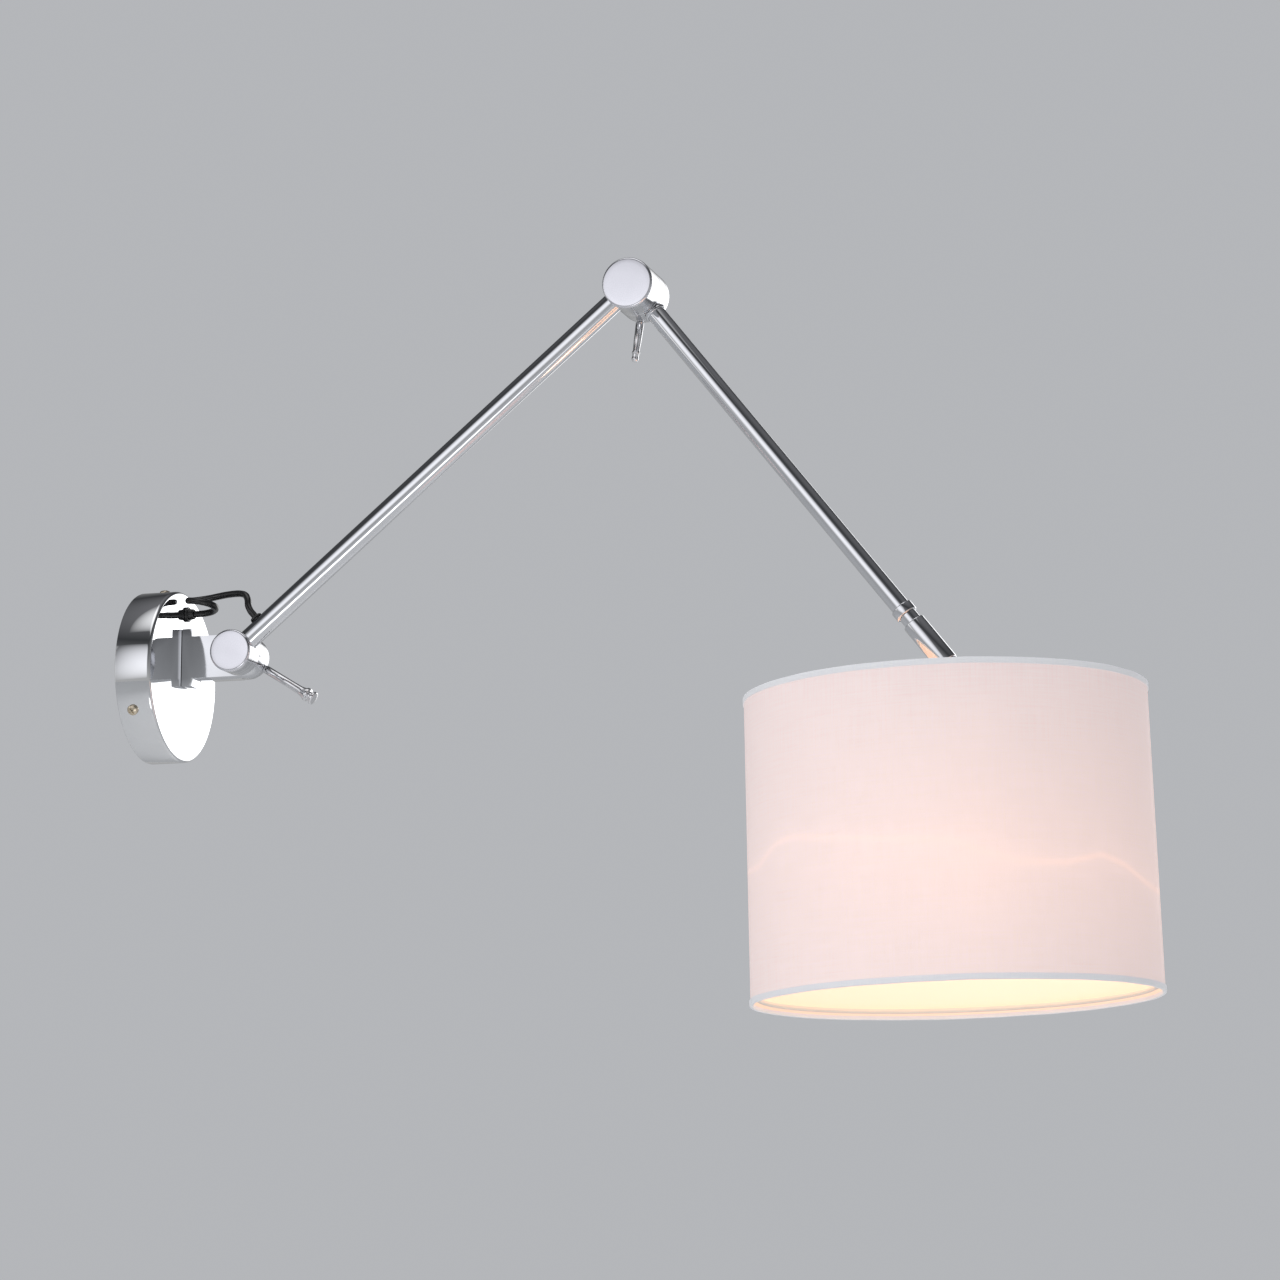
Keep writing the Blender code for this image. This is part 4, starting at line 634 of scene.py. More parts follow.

# %% [markdown]
# ## The cord
#
# A short black lead leaves a grommet on the canopy, makes one flat turn in front of it, and dips into the lower
# arm, so that the arm can tilt without pulling on it. Its route is a list of points, and a smooth curve
# through them is what keeps it from looking like bent wire. It crosses the base joint, and it is attached to
# neither the canopy nor the arm.

# %% Cord route
CORD_DIAMETER = 0.0044
CORD_ROUTE = (
    (0.0304, 0.0040, 0.0425),
    (0.0340, 0.0040, 0.0425),
    (0.0385, 0.0037, 0.0427),
    (0.0436, 0.0021, 0.0433),
    (0.0470, -0.0014, 0.0441),
    (0.0482, -0.0060, 0.0450),
    (0.0464, -0.0111, 0.0460),
    (0.0420, -0.0144, 0.0469),
    (0.0366, -0.0144, 0.0478),
    (0.0321, -0.0113, 0.0487),
    (0.0302, -0.0062, 0.0496),
    (0.0318, -0.0012, 0.0506),
    (0.0362, 0.0018, 0.0516),
    (0.0420, 0.0022, 0.0523),
    (0.0480, 0.0010, 0.0529),
    (0.0545, -0.0012, 0.0532),
    (0.0610, -0.0036, 0.0531),
    (0.0665, -0.0058, 0.0525),
    (0.0707, -0.0080, 0.0508),
    (0.0730, -0.0098, 0.0475),
    (0.0740, -0.0112, 0.0432),
    (0.0760, -0.0121, 0.0395),
    (0.0780, -0.0121, 0.0371),
    (0.0803, -0.0121, 0.0344),
)


def smooth_line(route, samples):
    """Points along the Catmull-Rom curve through a route."""
    points = [Vector(p) for p in route]
    points = [points[0] * 2 - points[1], *points, points[-1] * 2 - points[-2]]
    line = []
    for i in range(1, len(points) - 2):
        before, start, end, after = points[i - 1 : i + 3]
        for step in range(samples):
            t = step / samples
            bend = (2 * before - 5 * start + 4 * end - after) * t**2
            rest = (3 * start - before - 3 * end + after) * t**3
            line.append(0.5 * (2 * start + (end - before) * t + bend + rest))
    return [*line, points[-2]]


cord_line = smooth_line(CORD_ROUTE, 8)
cord_length = sum((b - a).length for a, b in zip(cord_line, cord_line[1:]))
print("cord", round(cord_length / MM, 1), "mm long")


# %% Cord tube
def tube_along(name, line, radius, sides):
    """A round tube along a line of points, made a mesh with closed ends."""
    path = bpy.data.curves.new(name, "CURVE")
    path.dimensions = "3D"
    path.bevel_depth = radius
    path.bevel_resolution = sides
    path.use_fill_caps = True
    spline = path.splines.new("POLY")
    spline.points.add(len(line) - 1)
    for point, at in zip(spline.points, line):
        point.co = (*at, 1.0)
    obj = bpy.data.objects.new(name, path)
    bpy.context.scene.collection.objects.link(obj)
    only(obj)
    bpy.ops.object.convert(target="MESH")
    return bpy.context.object


cord = settle(tube_along("cord_lead", cord_line, CORD_DIAMETER / 2, 6), black_sheath, 50.0)
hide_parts("cord_loop")
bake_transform(cord)

# %% [markdown]
# ## Canopy
#
# The canopy is a spun steel pan. On the lathe its face is pressed flat and its corner is rolled, then the rim is
# trimmed. It is one run of extrudes: face, rolled corner, side, a small rolled lip at the wall, and the inside. The
# face stays a clean disc, because a mirror shows every dent.

# %% Canopy pan
canopy_radius = (high("canopy", 2) - low("canopy", 2)) / 2
canopy_face = high("canopy", 0)
canopy_back = low("canopy", 0)
CANOPY_WALL = 1.2 * MM
CANOPY_ROLL = 2.4 * MM

pan = [(0.0, canopy_face)]
pan += [(canopy_radius * share, canopy_face) for share in (0.3, 0.6, 0.85)]
pan += rounded((canopy_radius - CANOPY_ROLL, canopy_face - CANOPY_ROLL), CANOPY_ROLL, 90.0, 0.0, 8)
pan += [(canopy_radius, canopy_back + 0.5 * MM)]
pan += rounded((canopy_radius - 0.5 * MM, canopy_back + 0.5 * MM), 0.5 * MM, 0.0, -90.0, 3)
pan += [(canopy_radius - CANOPY_WALL, canopy_back)]
inner_roll = CANOPY_ROLL - CANOPY_WALL
pan += rounded((canopy_radius - CANOPY_ROLL, canopy_face - CANOPY_ROLL), inner_roll, 0.0, 90.0, 4)
pan += [(0.0, canopy_face - CANOPY_WALL)]
canopy = turned("canopy_pan", pan, Vector((0, 0, 0)), OUT, 128)
settle(canopy, canopy_chrome)
fit(canopy, "root", "chrome", "canopy")

# %% [markdown]
# ## Pivot bracket
#
# The lower arm turns on a milled bracket: a foot flat against the canopy, a web, and a round end. It is drawn as a
# cube that is cut, extruded and bevelled. Every edge of real milled and plated metal is broken, and those thin
# bright lines are what the mirror face doubles into a cross.

# %% Bracket
bracket_low, bracket_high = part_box("pivot_bracket")
barrel_radius = across_size("base_cover") / 2
FOOT_THICKNESS = 6.6 * MM
BROKEN_EDGE = 0.45 * MM
ROUND_END_STEPS = 24


def add_block(name, low_corner, high_corner):
    clear_selection()
    centre = (low_corner + high_corner) / 2
    bpy.ops.mesh.primitive_cube_add(size=1.0, location=centre)
    obj = bpy.context.object
    obj.name = name
    obj.data.name = name
    obj.dimensions = high_corner - low_corner
    bpy.ops.object.transform_apply(location=True, rotation=False, scale=True)
    return obj


def faces_the_web(face):
    return face.normal.x > 0.9 and abs(face.center.z - base_axis.z) < barrel_radius * 0.9


def make_bracket():
    foot_end = bracket_low.x + FOOT_THICKNESS
    foot = add_block("bracket_body", bracket_low, Vector((foot_end, bracket_high.y, bracket_high.z)))
    edit(foot)
    for level in (base_axis.z - barrel_radius, base_axis.z + barrel_radius):
        bpy.ops.mesh.select_all(action="SELECT")
        bpy.ops.mesh.bisect(plane_co=(0, 0, level), plane_no=(0, 0, 1))
    leave()
    edit(foot)
    print("web faces:", pick(foot, "polygons", faces_the_web))
    bpy.ops.mesh.extrude_region_move(TRANSFORM_OT_translate={"value": (base_axis.x - foot_end, 0, 0)})
    for step in range(ROUND_END_STEPS):
        here = math.radians(90.0 - 90.0 * step / ROUND_END_STEPS)
        there = math.radians(90.0 - 90.0 * (step + 1) / ROUND_END_STEPS)
        if step == ROUND_END_STEPS - 1:
            there = math.radians(2.0)
        move = barrel_radius * (math.cos(there) - math.cos(here))
        squeeze = math.sin(there) / math.sin(here)
        bpy.ops.mesh.extrude_region_move(TRANSFORM_OT_translate={"value": (move, 0, 0)})
        pivot = (base_axis.x, 0.0, base_axis.z)
        bpy.ops.transform.resize(value=(1.0, 1.0, squeeze), center_override=pivot)
    leave()
    rounding = foot.modifiers.new("broken edges", "BEVEL")
    rounding.width = BROKEN_EDGE
    rounding.segments = 3
    rounding.limit_method = "ANGLE"
    rounding.angle_limit = math.radians(50.0)
    apply_modifiers(foot)
    return foot


bracket = make_bracket()
nut_far = high("base_clamp_nut", 1)
nut_near = low("base_clamp_nut", 1)


def cut_by(obj, tool):
    """Cuts with another mesh, then removes it."""
    step = obj.modifiers.new("cut", "BOOLEAN")
    step.operation = "DIFFERENCE"
    step.solver = "EXACT"
    step.object = tool
    only(obj)
    bpy.ops.object.modifier_apply(modifier=step.name)
    bpy.data.objects.remove(tool, do_unlink=True)


def cutter(radius, start, end, place, direction):
    """A cylinder that reaches from start to end along a direction."""
    depth = end - start
    clear_selection()
    spot = place + direction * (start + depth / 2)
    turn = axis_turn(direction)
    bpy.ops.mesh.primitive_cylinder_add(vertices=96, radius=radius, depth=depth, location=spot, rotation=turn)
    return bpy.context.object


NUT_GAP = 0.3 * MM
PAST_THE_NUT = 10 * MM
base_on_plane = Vector((base_axis.x, 0.0, base_axis.z))
nut_seat = cutter(barrel_radius + NUT_GAP, nut_near - NUT_GAP, nut_far + PAST_THE_NUT, base_on_plane, ACROSS)
cut_by(bracket, nut_seat)
settle(bracket, polished, 30.0)
fit(bracket, "root", "chrome", "pivot_bracket")

# %% [markdown]
# ## Knuckles
#
# Each knuckle is a drum in slices: a pressed cover, a near half, a far half or bracket, and a clamp nut. The
# slices are told apart only by fine seams, so each slice gets a broken edge where it meets the next. The covers are
# slightly domed and satin; the drum's side carries rings from the lathe.

# %% Drum slices
SEAM = 0.22 * MM
CROWN = 0.25 * MM


def axis_point(joint):
    return Vector((joint.x, 0.0, joint.z))


def drum_slice(name, node, joint, hole):
    """One slice of a knuckle, with broken edges and an axle hole."""
    radius = across_size(node) / 2
    near = low(node, 1)
    far = high(node, 1)
    stations = [(hole, near), (radius - SEAM, near), (radius, near + SEAM), (radius, (near + far) / 2)]
    stations += [(radius, far - SEAM), (radius - SEAM, far), (hole, far), (hole, near)]
    return turned(name, stations, axis_point(joint), ACROSS)


def capped_slice(name, node, joint, face_is_near):
    """A slice that closes an end: rounded corner and a slightly domed face."""
    radius = across_size(node) / 2
    near = low(node, 1)
    far = high(node, 1)
    roll = 1.5 * MM
    face = near if face_is_near else far
    inward = 1.0 if face_is_near else -1.0
    seam = near + 2.2 * MM if face_is_near else near
    stations = [(0.0, face)]
    stations += [(radius * share, face + inward * CROWN * share**2) for share in (0.25, 0.5, 0.75)]
    corner = (radius - roll, face + inward * (roll + CROWN))
    if face_is_near:
        stations += rounded(corner, roll, -90.0, 0.0, 6)
    else:
        stations += rounded(corner, roll, 90.0, 0.0, 6)
    stations += [(radius, seam - inward * SEAM), (radius - SEAM, seam), (0.0, seam)]
    return turned(name, stations, axis_point(joint), ACROSS)


def make_cover(name, node, joint, body):
    cover = settle(capped_slice(name, node, joint, True), satin_cap)
    fit(cover, body, "chrome", node)


make_cover("base_cover_cap", "base_cover", base_axis, "lower_arm")
make_cover("elbow_cover_cap", "elbow_cover", elbow_axis, "lower_arm")


# %% Knuckle bodies with their tube sockets
def make_slice(name, node, joint, hole, body, socket):
    """socket is (radius, y, direction) of the hole that a tube goes into."""
    piece = drum_slice(name, node, joint, hole)
    settle(piece, turned_chrome)
    radius, y, direction = socket
    spot = Vector((joint.x, y, joint.z))
    reach = across_size(node) / 2
    cut_by(piece, cutter(radius, reach * 0.6, reach * 2.0, spot, direction))
    settle(piece, turned_chrome)
    fit(piece, body, "chrome", node)


lower_y = middle("lower_tube").y
upper_y = middle("upper_tube").y
lower_radius = (high("lower_tube", 1) - low("lower_tube", 1)) / 2
upper_radius = (high("upper_tube", 1) - low("upper_tube", 1)) / 2
CLEARANCE = 0.25 * MM
BASE_AXLE_HOLE = 4.3 * MM
ELBOW_AXLE_HOLE = 5.3 * MM
base_socket = (lower_radius + CLEARANCE, lower_y, lower_way)
near_socket = (lower_radius + CLEARANCE, lower_y, -lower_way)
far_socket = (upper_radius + CLEARANCE, upper_y, upper_way)
make_slice("base_drum", "base_knuckle", base_axis, BASE_AXLE_HOLE, "lower_arm", base_socket)
make_slice("elbow_drum_near", "elbow_knuckle_near", elbow_axis, ELBOW_AXLE_HOLE, "lower_arm", near_socket)
make_slice("elbow_drum_far", "elbow_knuckle_far", elbow_axis, ELBOW_AXLE_HOLE, "upper_arm", far_socket)
for nut_name, nut_node, nut_axis, nut_body in (
    ("base_nut_cap", "base_clamp_nut", base_axis, "base_clamp"),
    ("elbow_nut_cap", "elbow_clamp_nut", elbow_axis, "elbow_clamp"),
):
    nut_cap = settle(capped_slice(nut_name, nut_node, nut_axis, False), turned_chrome)
    fit(nut_cap, nut_body, "chrome", nut_node)

# %% [markdown]
# ## Arm tubes
#
# The arms are drawn tubes. A plated tube reflects in long stripes, so it needs many sides and no faceting: 96 sides
# over a 14 mm tube is smoother than the finish itself. Each end has a small chamfer and goes a few millimetres into
# its knuckle.

# %% Tubes
TUBE_WALL = 1.0 * MM
LANDING = 4.1 * MM
base_radius = across_size("base_knuckle") / 2
elbow_radius = across_size("elbow_knuckle_near") / 2


def make_tube(name, radius, start, end, origin, direction):
    """A straight tube with a small chamfer at each end."""
    chamfer = 0.3 * MM
    inner = radius - TUBE_WALL
    span = [start + (end - start) * share for share in (0.25, 0.5, 0.75)]
    stations = [(inner, start), (radius - chamfer, start), (radius, start + chamfer)]
    stations += [(radius, along) for along in span]
    stations += [(radius, end - chamfer), (radius - chamfer, end), (inner, end), (inner, start)]
    return settle(turned(name, stations, origin, direction), polished)


lower_origin = Vector((base_axis.x, lower_y, base_axis.z))
upper_origin = Vector((elbow_axis.x, upper_y, elbow_axis.z))
lower_end = lower_length - elbow_radius + LANDING
lower_start = base_radius - LANDING
lower_tube = make_tube("lower_arm_tube", lower_radius, lower_start, lower_end, lower_origin, lower_way)
CORD_HOLE_ALONG = 25.3 * MM
hole_way = Vector((-lower_way.z, 0.0, lower_way.x))
hole_spot = lower_origin + lower_way * CORD_HOLE_ALONG
cut_by(lower_tube, cutter(3.4 * MM, 2.0 * MM, 12.0 * MM, hole_spot, hole_way))
settle(lower_tube, polished)
fit(lower_tube, "lower_arm", "chrome", "lower_tube")


def along_upper(point):
    return (point - upper_origin).dot(upper_way)


def span_along_upper(node):
    """Where a node that is turned about the upper arm starts and ends along it."""
    corners = [vertex.co for vertex in frame["nodes"][node].data.vertices]
    distances = [along_upper(corner) for corner in corners]
    return min(distances), max(distances)


tube_start, tube_end = span_along_upper("upper_tube")
upper_tube = make_tube("upper_arm_tube", upper_radius, tube_start, tube_end, upper_origin, upper_way)
fit(upper_tube, "upper_arm", "chrome", "upper_tube")

# %% [markdown]
# ## Swivel
#
# Where the upper arm ends, a ring grips the tube, a thinner stem shows for a few millimetres, and a sleeve goes down
# into the shade. The sleeve turns on the stem. All three are turned parts with small rounds that catch the light.


# %% Ring, ferrule, stem and sleeve
def ring_on_arm(name, node, inner, outer, body, soft=0.5 * MM):
    start, end = span_along_upper(node)
    stations = [(inner, start)]
    stations += rounded((outer - soft, start + soft), soft, -90.0, 0.0, 4)
    stations += rounded((outer - soft, end - soft), soft, 0.0, 90.0, 4)
    stations += [(inner, end), (inner, start)]
    ring = settle(turned(name, stations, upper_origin, upper_way), polished)
    fit(ring, body, "chrome", node)


ring_on_arm("arm_end_ring", "end_ring", upper_radius + 0.1 * MM, upper_radius + 1.2 * MM, "upper_arm")
ring_on_arm("arm_ferrule", "tube_ferrule", upper_radius + 0.1 * MM, upper_radius + 1.2 * MM, "upper_arm", 0.4 * MM)
sleeve_start, sleeve_end = span_along_upper("swivel_sleeve")
SLEEVE_RADIUS = 7.4 * MM
STEM_RADIUS = 5.8 * MM


def make_stem():
    start, end = span_along_upper("swivel_stem")
    stations = [(3.0 * MM, start), (4.75 * MM, start), (4.75 * MM, tube_end + 0.1 * MM)]
    stations += [(STEM_RADIUS, tube_end + 0.3 * MM), (STEM_RADIUS, sleeve_start - 0.3 * MM)]
    stations += [(4.6 * MM, sleeve_start - 0.3 * MM), (4.6 * MM, end), (3.0 * MM, end), (3.0 * MM, start)]
    stem = settle(turned("swivel_stem_turned", stations, upper_origin, upper_way), polished)
    fit(stem, "upper_arm", "chrome", "swivel_stem")


def make_sleeve():
    soft = 0.5 * MM
    stations = [(4.9 * MM, sleeve_start)]
    stations += rounded((SLEEVE_RADIUS - soft, sleeve_start + soft), soft, -90.0, 0.0, 4)
    stations += rounded((SLEEVE_RADIUS - soft, sleeve_end - soft), soft, 0.0, 90.0, 4)
    stations += [(3.5 * MM, sleeve_end), (3.5 * MM, sleeve_start + 13.0 * MM), (4.9 * MM, sleeve_start + 12.6 * MM)]
    stations += [(4.9 * MM, sleeve_start)]
    sleeve = settle(turned("swivel_sleeve_turned", stations, upper_origin, upper_way), polished)
    fit(sleeve, "head", "chrome", "swivel_sleeve")


make_stem()
make_sleeve()

# %% [markdown]
# ## Clamp levers
#
# A lever is a turned rod. The lower one flares to a collar, narrows to a groove and ends in a flat button; the upper
# one is shorter, with a low bead near its rounded tip. Short rods like these show their profile clearly, so every
# corner has a round of its own.

# %% Levers
LEVER_RADIUS = 2.7 * MM


def lever_line(node, nut_axis, y):
    """The lever's start, direction and length, from the nut's axis to its tip."""
    start = Vector((nut_axis.x, y, nut_axis.z))
    corners = [vertex.co - start for vertex in frame["nodes"][node].data.vertices]
    tip = max(corners, key=lambda v: Vector((v.x, 0.0, v.z)).length)
    way = sum((Vector((v.x, 0.0, v.z)) for v in corners), Vector()).normalized()
    return start, way, tip.dot(way)


def make_base_lever():
    start, way, tip = lever_line("base_lever", base_axis, middle("base_lever").y)
    collar, button, groove = 4.6 * MM, 4.4 * MM, 2.8 * MM
    stations = [(0.0, barrel_radius - 6 * MM), (1.9 * MM, barrel_radius - 6 * MM), (1.9 * MM, barrel_radius)]
    stations += [(LEVER_RADIUS - 0.3 * MM, barrel_radius + 0.3 * MM), (LEVER_RADIUS, barrel_radius + 0.6 * MM)]
    stations += [(LEVER_RADIUS, tip - 20 * MM), (LEVER_RADIUS + 0.15 * MM, tip - 11.5 * MM)]
    stations += [(LEVER_RADIUS + 0.7 * MM, tip - 8.4 * MM), (collar - 0.2 * MM, tip - 6.9 * MM)]
    stations += rounded((collar - 0.6 * MM, tip - 5.2 * MM), 0.6 * MM, 0.0, 90.0, 4)
    stations += [(groove + 0.3 * MM, tip - 4.6 * MM), (groove, tip - 4.3 * MM), (groove, tip - 2.3 * MM)]
    stations += [(groove + 0.3 * MM, tip - 2.0 * MM)]
    stations += rounded((button - 0.6 * MM, tip - 1.4 * MM), 0.6 * MM, -90.0, 0.0, 4)
    stations += rounded((button - 0.6 * MM, tip - 0.6 * MM), 0.6 * MM, 0.0, 90.0, 4)
    stations += [(button * 0.5, tip), (0.0, tip)]
    lever = settle(turned("base_lever_rod", stations, start, way, 64), slim_chrome, 50.0)
    fit(lever, "base_clamp", "chrome", "base_lever")


def make_elbow_lever():
    start, way, tip = lever_line("elbow_lever", elbow_axis, middle("elbow_lever").y)
    thin = 2.1 * MM
    stations = [(0.0, elbow_radius - 6 * MM), (1.9 * MM, elbow_radius - 6 * MM), (1.9 * MM, elbow_radius)]
    stations += [(LEVER_RADIUS - 0.3 * MM, elbow_radius + 0.3 * MM), (LEVER_RADIUS, elbow_radius + 0.6 * MM)]
    stations += [(2.5 * MM, tip - 14 * MM), (thin, tip - 7.6 * MM), (2.4 * MM, tip - 7.0 * MM)]
    stations += rounded((LEVER_RADIUS - 0.5 * MM, tip - 6.1 * MM), 0.5 * MM, -30.0, 80.0, 5)
    stations += [(thin, tip - 5.0 * MM), (thin, tip - 3.4 * MM)]
    stations += rounded((0.0, tip - 2.3 * MM), 2.3 * MM, -25.0, 90.0, 9)
    lever = settle(turned("elbow_lever_rod", stations, start, way, 64), slim_chrome, 50.0)
    fit(lever, "elbow_clamp", "chrome", "elbow_lever")


make_base_lever()
make_elbow_lever()

# %% [markdown]
# ## Rim screws
#
# Three small screws go through the canopy's rim. Each has a domed head with a cross recess. One head is modelled and
# cut, and copied round the rim, each copy with its own mesh.

# %% Screw heads
SCREW_HEAD_RADIUS = 3.5 * MM
SCREW_HEAD_HEIGHT = 2.3 * MM


def make_rim_screw(number):
    node = f"canopy_screw_{number}"
    spot = middle(node)
    way = Vector((0.0, spot.y, spot.z)).normalized()
    origin = Vector((spot.x, 0.0, 0.0))
    seat = canopy_radius + 0.2 * MM
    top = seat + SCREW_HEAD_HEIGHT
    dome = [(SCREW_HEAD_RADIUS * share, top - 1.1 * MM * share**2) for share in (0.25, 0.5, 0.75, 0.92)]
    stations = [(0.0, top), *dome, (SCREW_HEAD_RADIUS, top - 1.4 * MM), (SCREW_HEAD_RADIUS, seat)]
    stations += [(1.8 * MM, seat), (1.8 * MM, seat - 6.5 * MM), (0.0, seat - 6.5 * MM)]
    screw = settle(turned(f"rim_screw_{number}", stations, origin, way, 40), nickel)
    for turn in (30.0, 120.0):
        clear_selection()
        bpy.ops.mesh.primitive_cube_add(size=1.0, location=origin + way * top, rotation=axis_turn(way))
        bar = bpy.context.object
        bar.scale = (0.8 * MM, 4.2 * MM, 1.9 * MM)
        bar.rotation_euler.rotate_axis("Z", math.radians(turn))
        cut_by(screw, bar)
    settle(screw, nickel)
    fit(screw, "root", "nickel_screw", node)


for number in (1, 2, 3):
    make_rim_screw(number)

# %% [markdown]
# ## Shade
#
# A drum shade is a rolled rectangle. The cloth is wider than the drum's girth, so its end laps over itself in a
# straight seam, which is turned to the back. The cloth is laminated to a liner, and a tape is folded over each rim
# and glued. The tape isn't a perfect ring: it swells a little, and its fold is soft.

# %% Shade axes
top_middle = middle("shade_top_trim")
bottom_middle = middle("shade_bottom_trim")
shade_up = (top_middle - bottom_middle).normalized()
drum_points = [vertex.co for vertex in frame["nodes"]["shade_drum"].data.vertices]
shade_origin = bottom_middle.copy()


def from_axis(point):
    rise = (point - shade_origin).dot(shade_up)
    return (point - shade_origin - shade_up * rise).length, rise


drum_rises = [from_axis(point)[1] for point in drum_points]
drum_foot, drum_head = min(drum_rises), max(drum_rises)
foot_radius = max(from_axis(p)[0] for p in drum_points if from_axis(p)[1] < drum_foot + MM)
head_radius = max(from_axis(p)[0] for p in drum_points if from_axis(p)[1] > drum_head - MM)
print("drum", round(foot_radius / MM, 1), "to", round(head_radius / MM, 1), "mm radius,")
print("     ", round((drum_head - drum_foot) / MM, 1), "mm high")


def drum_radius(rise):
    share = (rise - drum_foot) / (drum_head - drum_foot)
    return foot_radius + (head_radius - foot_radius) * share


# %% Cloth and liner
CLOTH = 0.45 * MM
LINER = 0.5 * MM
LAP = 9.0 * MM
SEAM_AZIMUTH = math.radians(70.0)


def rolled_sheet(name, outer_offset, thickness, sides, lapped):
    """A cylinder's side, laid out on a UV map in metres, with its seam at the back and a real thickness."""
    clear_selection()
    height = drum_head - drum_foot
    spot = shade_origin + shade_up * (drum_foot + height / 2)
    bpy.ops.mesh.primitive_cylinder_add(
        vertices=sides, radius=foot_radius, depth=height, end_fill_type="NOTHING", location=spot
    )
    sheet = bpy.context.object
    sheet.name = name
    sheet.data.name = name
    edit(sheet, "EDGE")

    def upright(side):
        return abs(vertex_rise(sheet, side, 0) - vertex_rise(sheet, side, 1)) > height / 2

    pick(sheet, "edges", upright)
    bpy.ops.mesh.subdivide(number_cuts=15)
    leave()
    sheet.rotation_euler = axis_turn(shade_up)
    only(sheet)
    bpy.ops.object.transform_apply(location=True, rotation=True, scale=True)
    shape_drum(sheet, outer_offset)
    lay_out(sheet)
    if lapped:
        raise_lap(sheet)
    wall = sheet.modifiers.new("wall", "SOLIDIFY")
    wall.thickness = thickness
    wall.offset = -1.0
    apply_modifiers(sheet)
    return sheet


def vertex_rise(obj, edge, end):
    return obj.data.vertices[edge.vertices[end]].co.z


def azimuth(point):
    flat = point - shade_origin
    return math.atan2(flat.y, flat.x)


def shape_drum(sheet, outer_offset):
    """Moves each point of the cylinder to the drum's own radius at its height."""
    for vertex in sheet.data.vertices:
        distance, rise = from_axis(vertex.co)
        centre = shade_origin + shade_up * rise
        vertex.co = centre + (vertex.co - centre) * ((drum_radius(rise) + outer_offset) / distance)


def lay_out(sheet):
    """UV in metres: along the girth from the seam, and up the drum."""
    layer = sheet.data.uv_layers.new(name="cloth") if not sheet.data.uv_layers else sheet.data.uv_layers[0]
    for face in sheet.data.polygons:
        middle_turn = (azimuth(face.center) - SEAM_AZIMUTH) % (2 * math.pi)
        for loop in face.loop_indices:
            point = sheet.data.vertices[sheet.data.loops[loop].vertex_index].co
            turn = (azimuth(point) - SEAM_AZIMUTH) % (2 * math.pi)
            if turn - middle_turn > math.pi:
                turn -= 2 * math.pi
            if middle_turn - turn > math.pi:
                turn += 2 * math.pi
            layer.data[loop].uv = (turn * foot_radius, from_axis(point)[1])


def raise_lap(sheet):
    """Lifts the strip beside the seam by the cloth's own thickness, where it laps over the other end."""
    lap_turn = LAP / foot_radius
    for vertex in sheet.data.vertices:
        turn = (azimuth(vertex.co) - SEAM_AZIMUTH) % (2 * math.pi)
        if turn < lap_turn:
            centre = shade_origin + shade_up * from_axis(vertex.co)[1]
            away = (vertex.co - centre).normalized()
            vertex.co = vertex.co + away * (CLOTH * 0.8)


cloth = rolled_sheet("shade_linen_cloth", 0.0, CLOTH, 192, True)
settle(cloth, linen)
fit(cloth, "shade", "shade_fabric", "shade_drum")
2 * math.pi * (foot_radius + head_radius) / 2
drum_head - drum_foot
liner = rolled_sheet("shade_stiff_liner", -CLOTH - 0.05 * MM, LINER, 160, False)
settle(liner, liner_finish)
fit(liner, "shade", "shade_fabric")

# %% [markdown]
# ## Rim tapes
#
# A tape is a strip folded over the rim: outside, over the edge and a little way inside. It starts as a torus of
# stations round a soft U, so its fold is round, and it is 2% uneven along its length, as glued tape is.

# %% Tapes
TAPE_HEIGHT = 3.9 * MM
TAPE_THICK = 0.75 * MM


def make_tape(name, node, edge_rise, inward, body_radius):
    """inward is 1 at the bottom rim, where the tape goes up from the edge, and -1 at the top rim."""
    outer = body_radius + TAPE_THICK
    inner = body_radius - CLOTH - LINER - TAPE_THICK
    fold = (outer - inner) / 2
    crest = edge_rise + inward * fold * 0.55
    heart = (outer + inner) / 2
    stations = [(body_radius, edge_rise + inward * TAPE_HEIGHT), (outer - 0.2 * MM, edge_rise + inward * TAPE_HEIGHT)]
    stations += [(outer, edge_rise + inward * (TAPE_HEIGHT - 0.4 * MM)), (outer, crest + inward * 0.5 * MM)]
    turn = [math.radians(180.0 * i / 8) for i in range(9)]
    stations += [(heart + fold * math.cos(a), crest - inward * fold * 0.55 * math.sin(a)) for a in turn]
    stations += [(inner, edge_rise + inward * 2.6 * MM), (inner + TAPE_THICK, edge_rise + inward * 2.8 * MM)]
    stations += [(inner + TAPE_THICK, crest + inward * 0.3 * MM), (body_radius, crest + inward * 0.3 * MM)]
    stations += [stations[0]]
    tape_ring = turned(name, stations, shade_origin, shade_up, 160)
    settle(tape_ring, tape, 60.0)
    loosen(tape_ring)
    lay_out_tape(tape_ring)
    fit(tape_ring, "shade", "shade_trim", node)


def loosen(ring):
    """A small wander in and out along the girth."""
    for vertex in ring.data.vertices:
        turn = azimuth(vertex.co)
        swell = 0.10 * MM * math.sin(turn * 9.0 + 0.6) + 0.07 * MM * math.sin(turn * 23.0)
        centre = shade_origin + shade_up * from_axis(vertex.co)[1]
        distance = from_axis(vertex.co)[0]
        if distance > foot_radius - 2.0 * MM:
            vertex.co = vertex.co + (vertex.co - centre).normalized() * swell * 0.5 + shade_up * swell * 0.6


def lay_out_tape(ring):
    """UV in metres: along the girth, and across the strip."""
    layer = ring.data.uv_layers.new(name="cloth") if not ring.data.uv_layers else ring.data.uv_layers[0]
    for face in ring.data.polygons:
        middle_turn = azimuth(face.center)
        for loop in face.loop_indices:
            point = ring.data.vertices[ring.data.loops[loop].vertex_index].co
            turn = azimuth(point)
            turn += 2 * math.pi * round((middle_turn - turn) / (2 * math.pi))
            distance, rise = from_axis(point)
            layer.data[loop].uv = (turn * foot_radius, rise + distance)


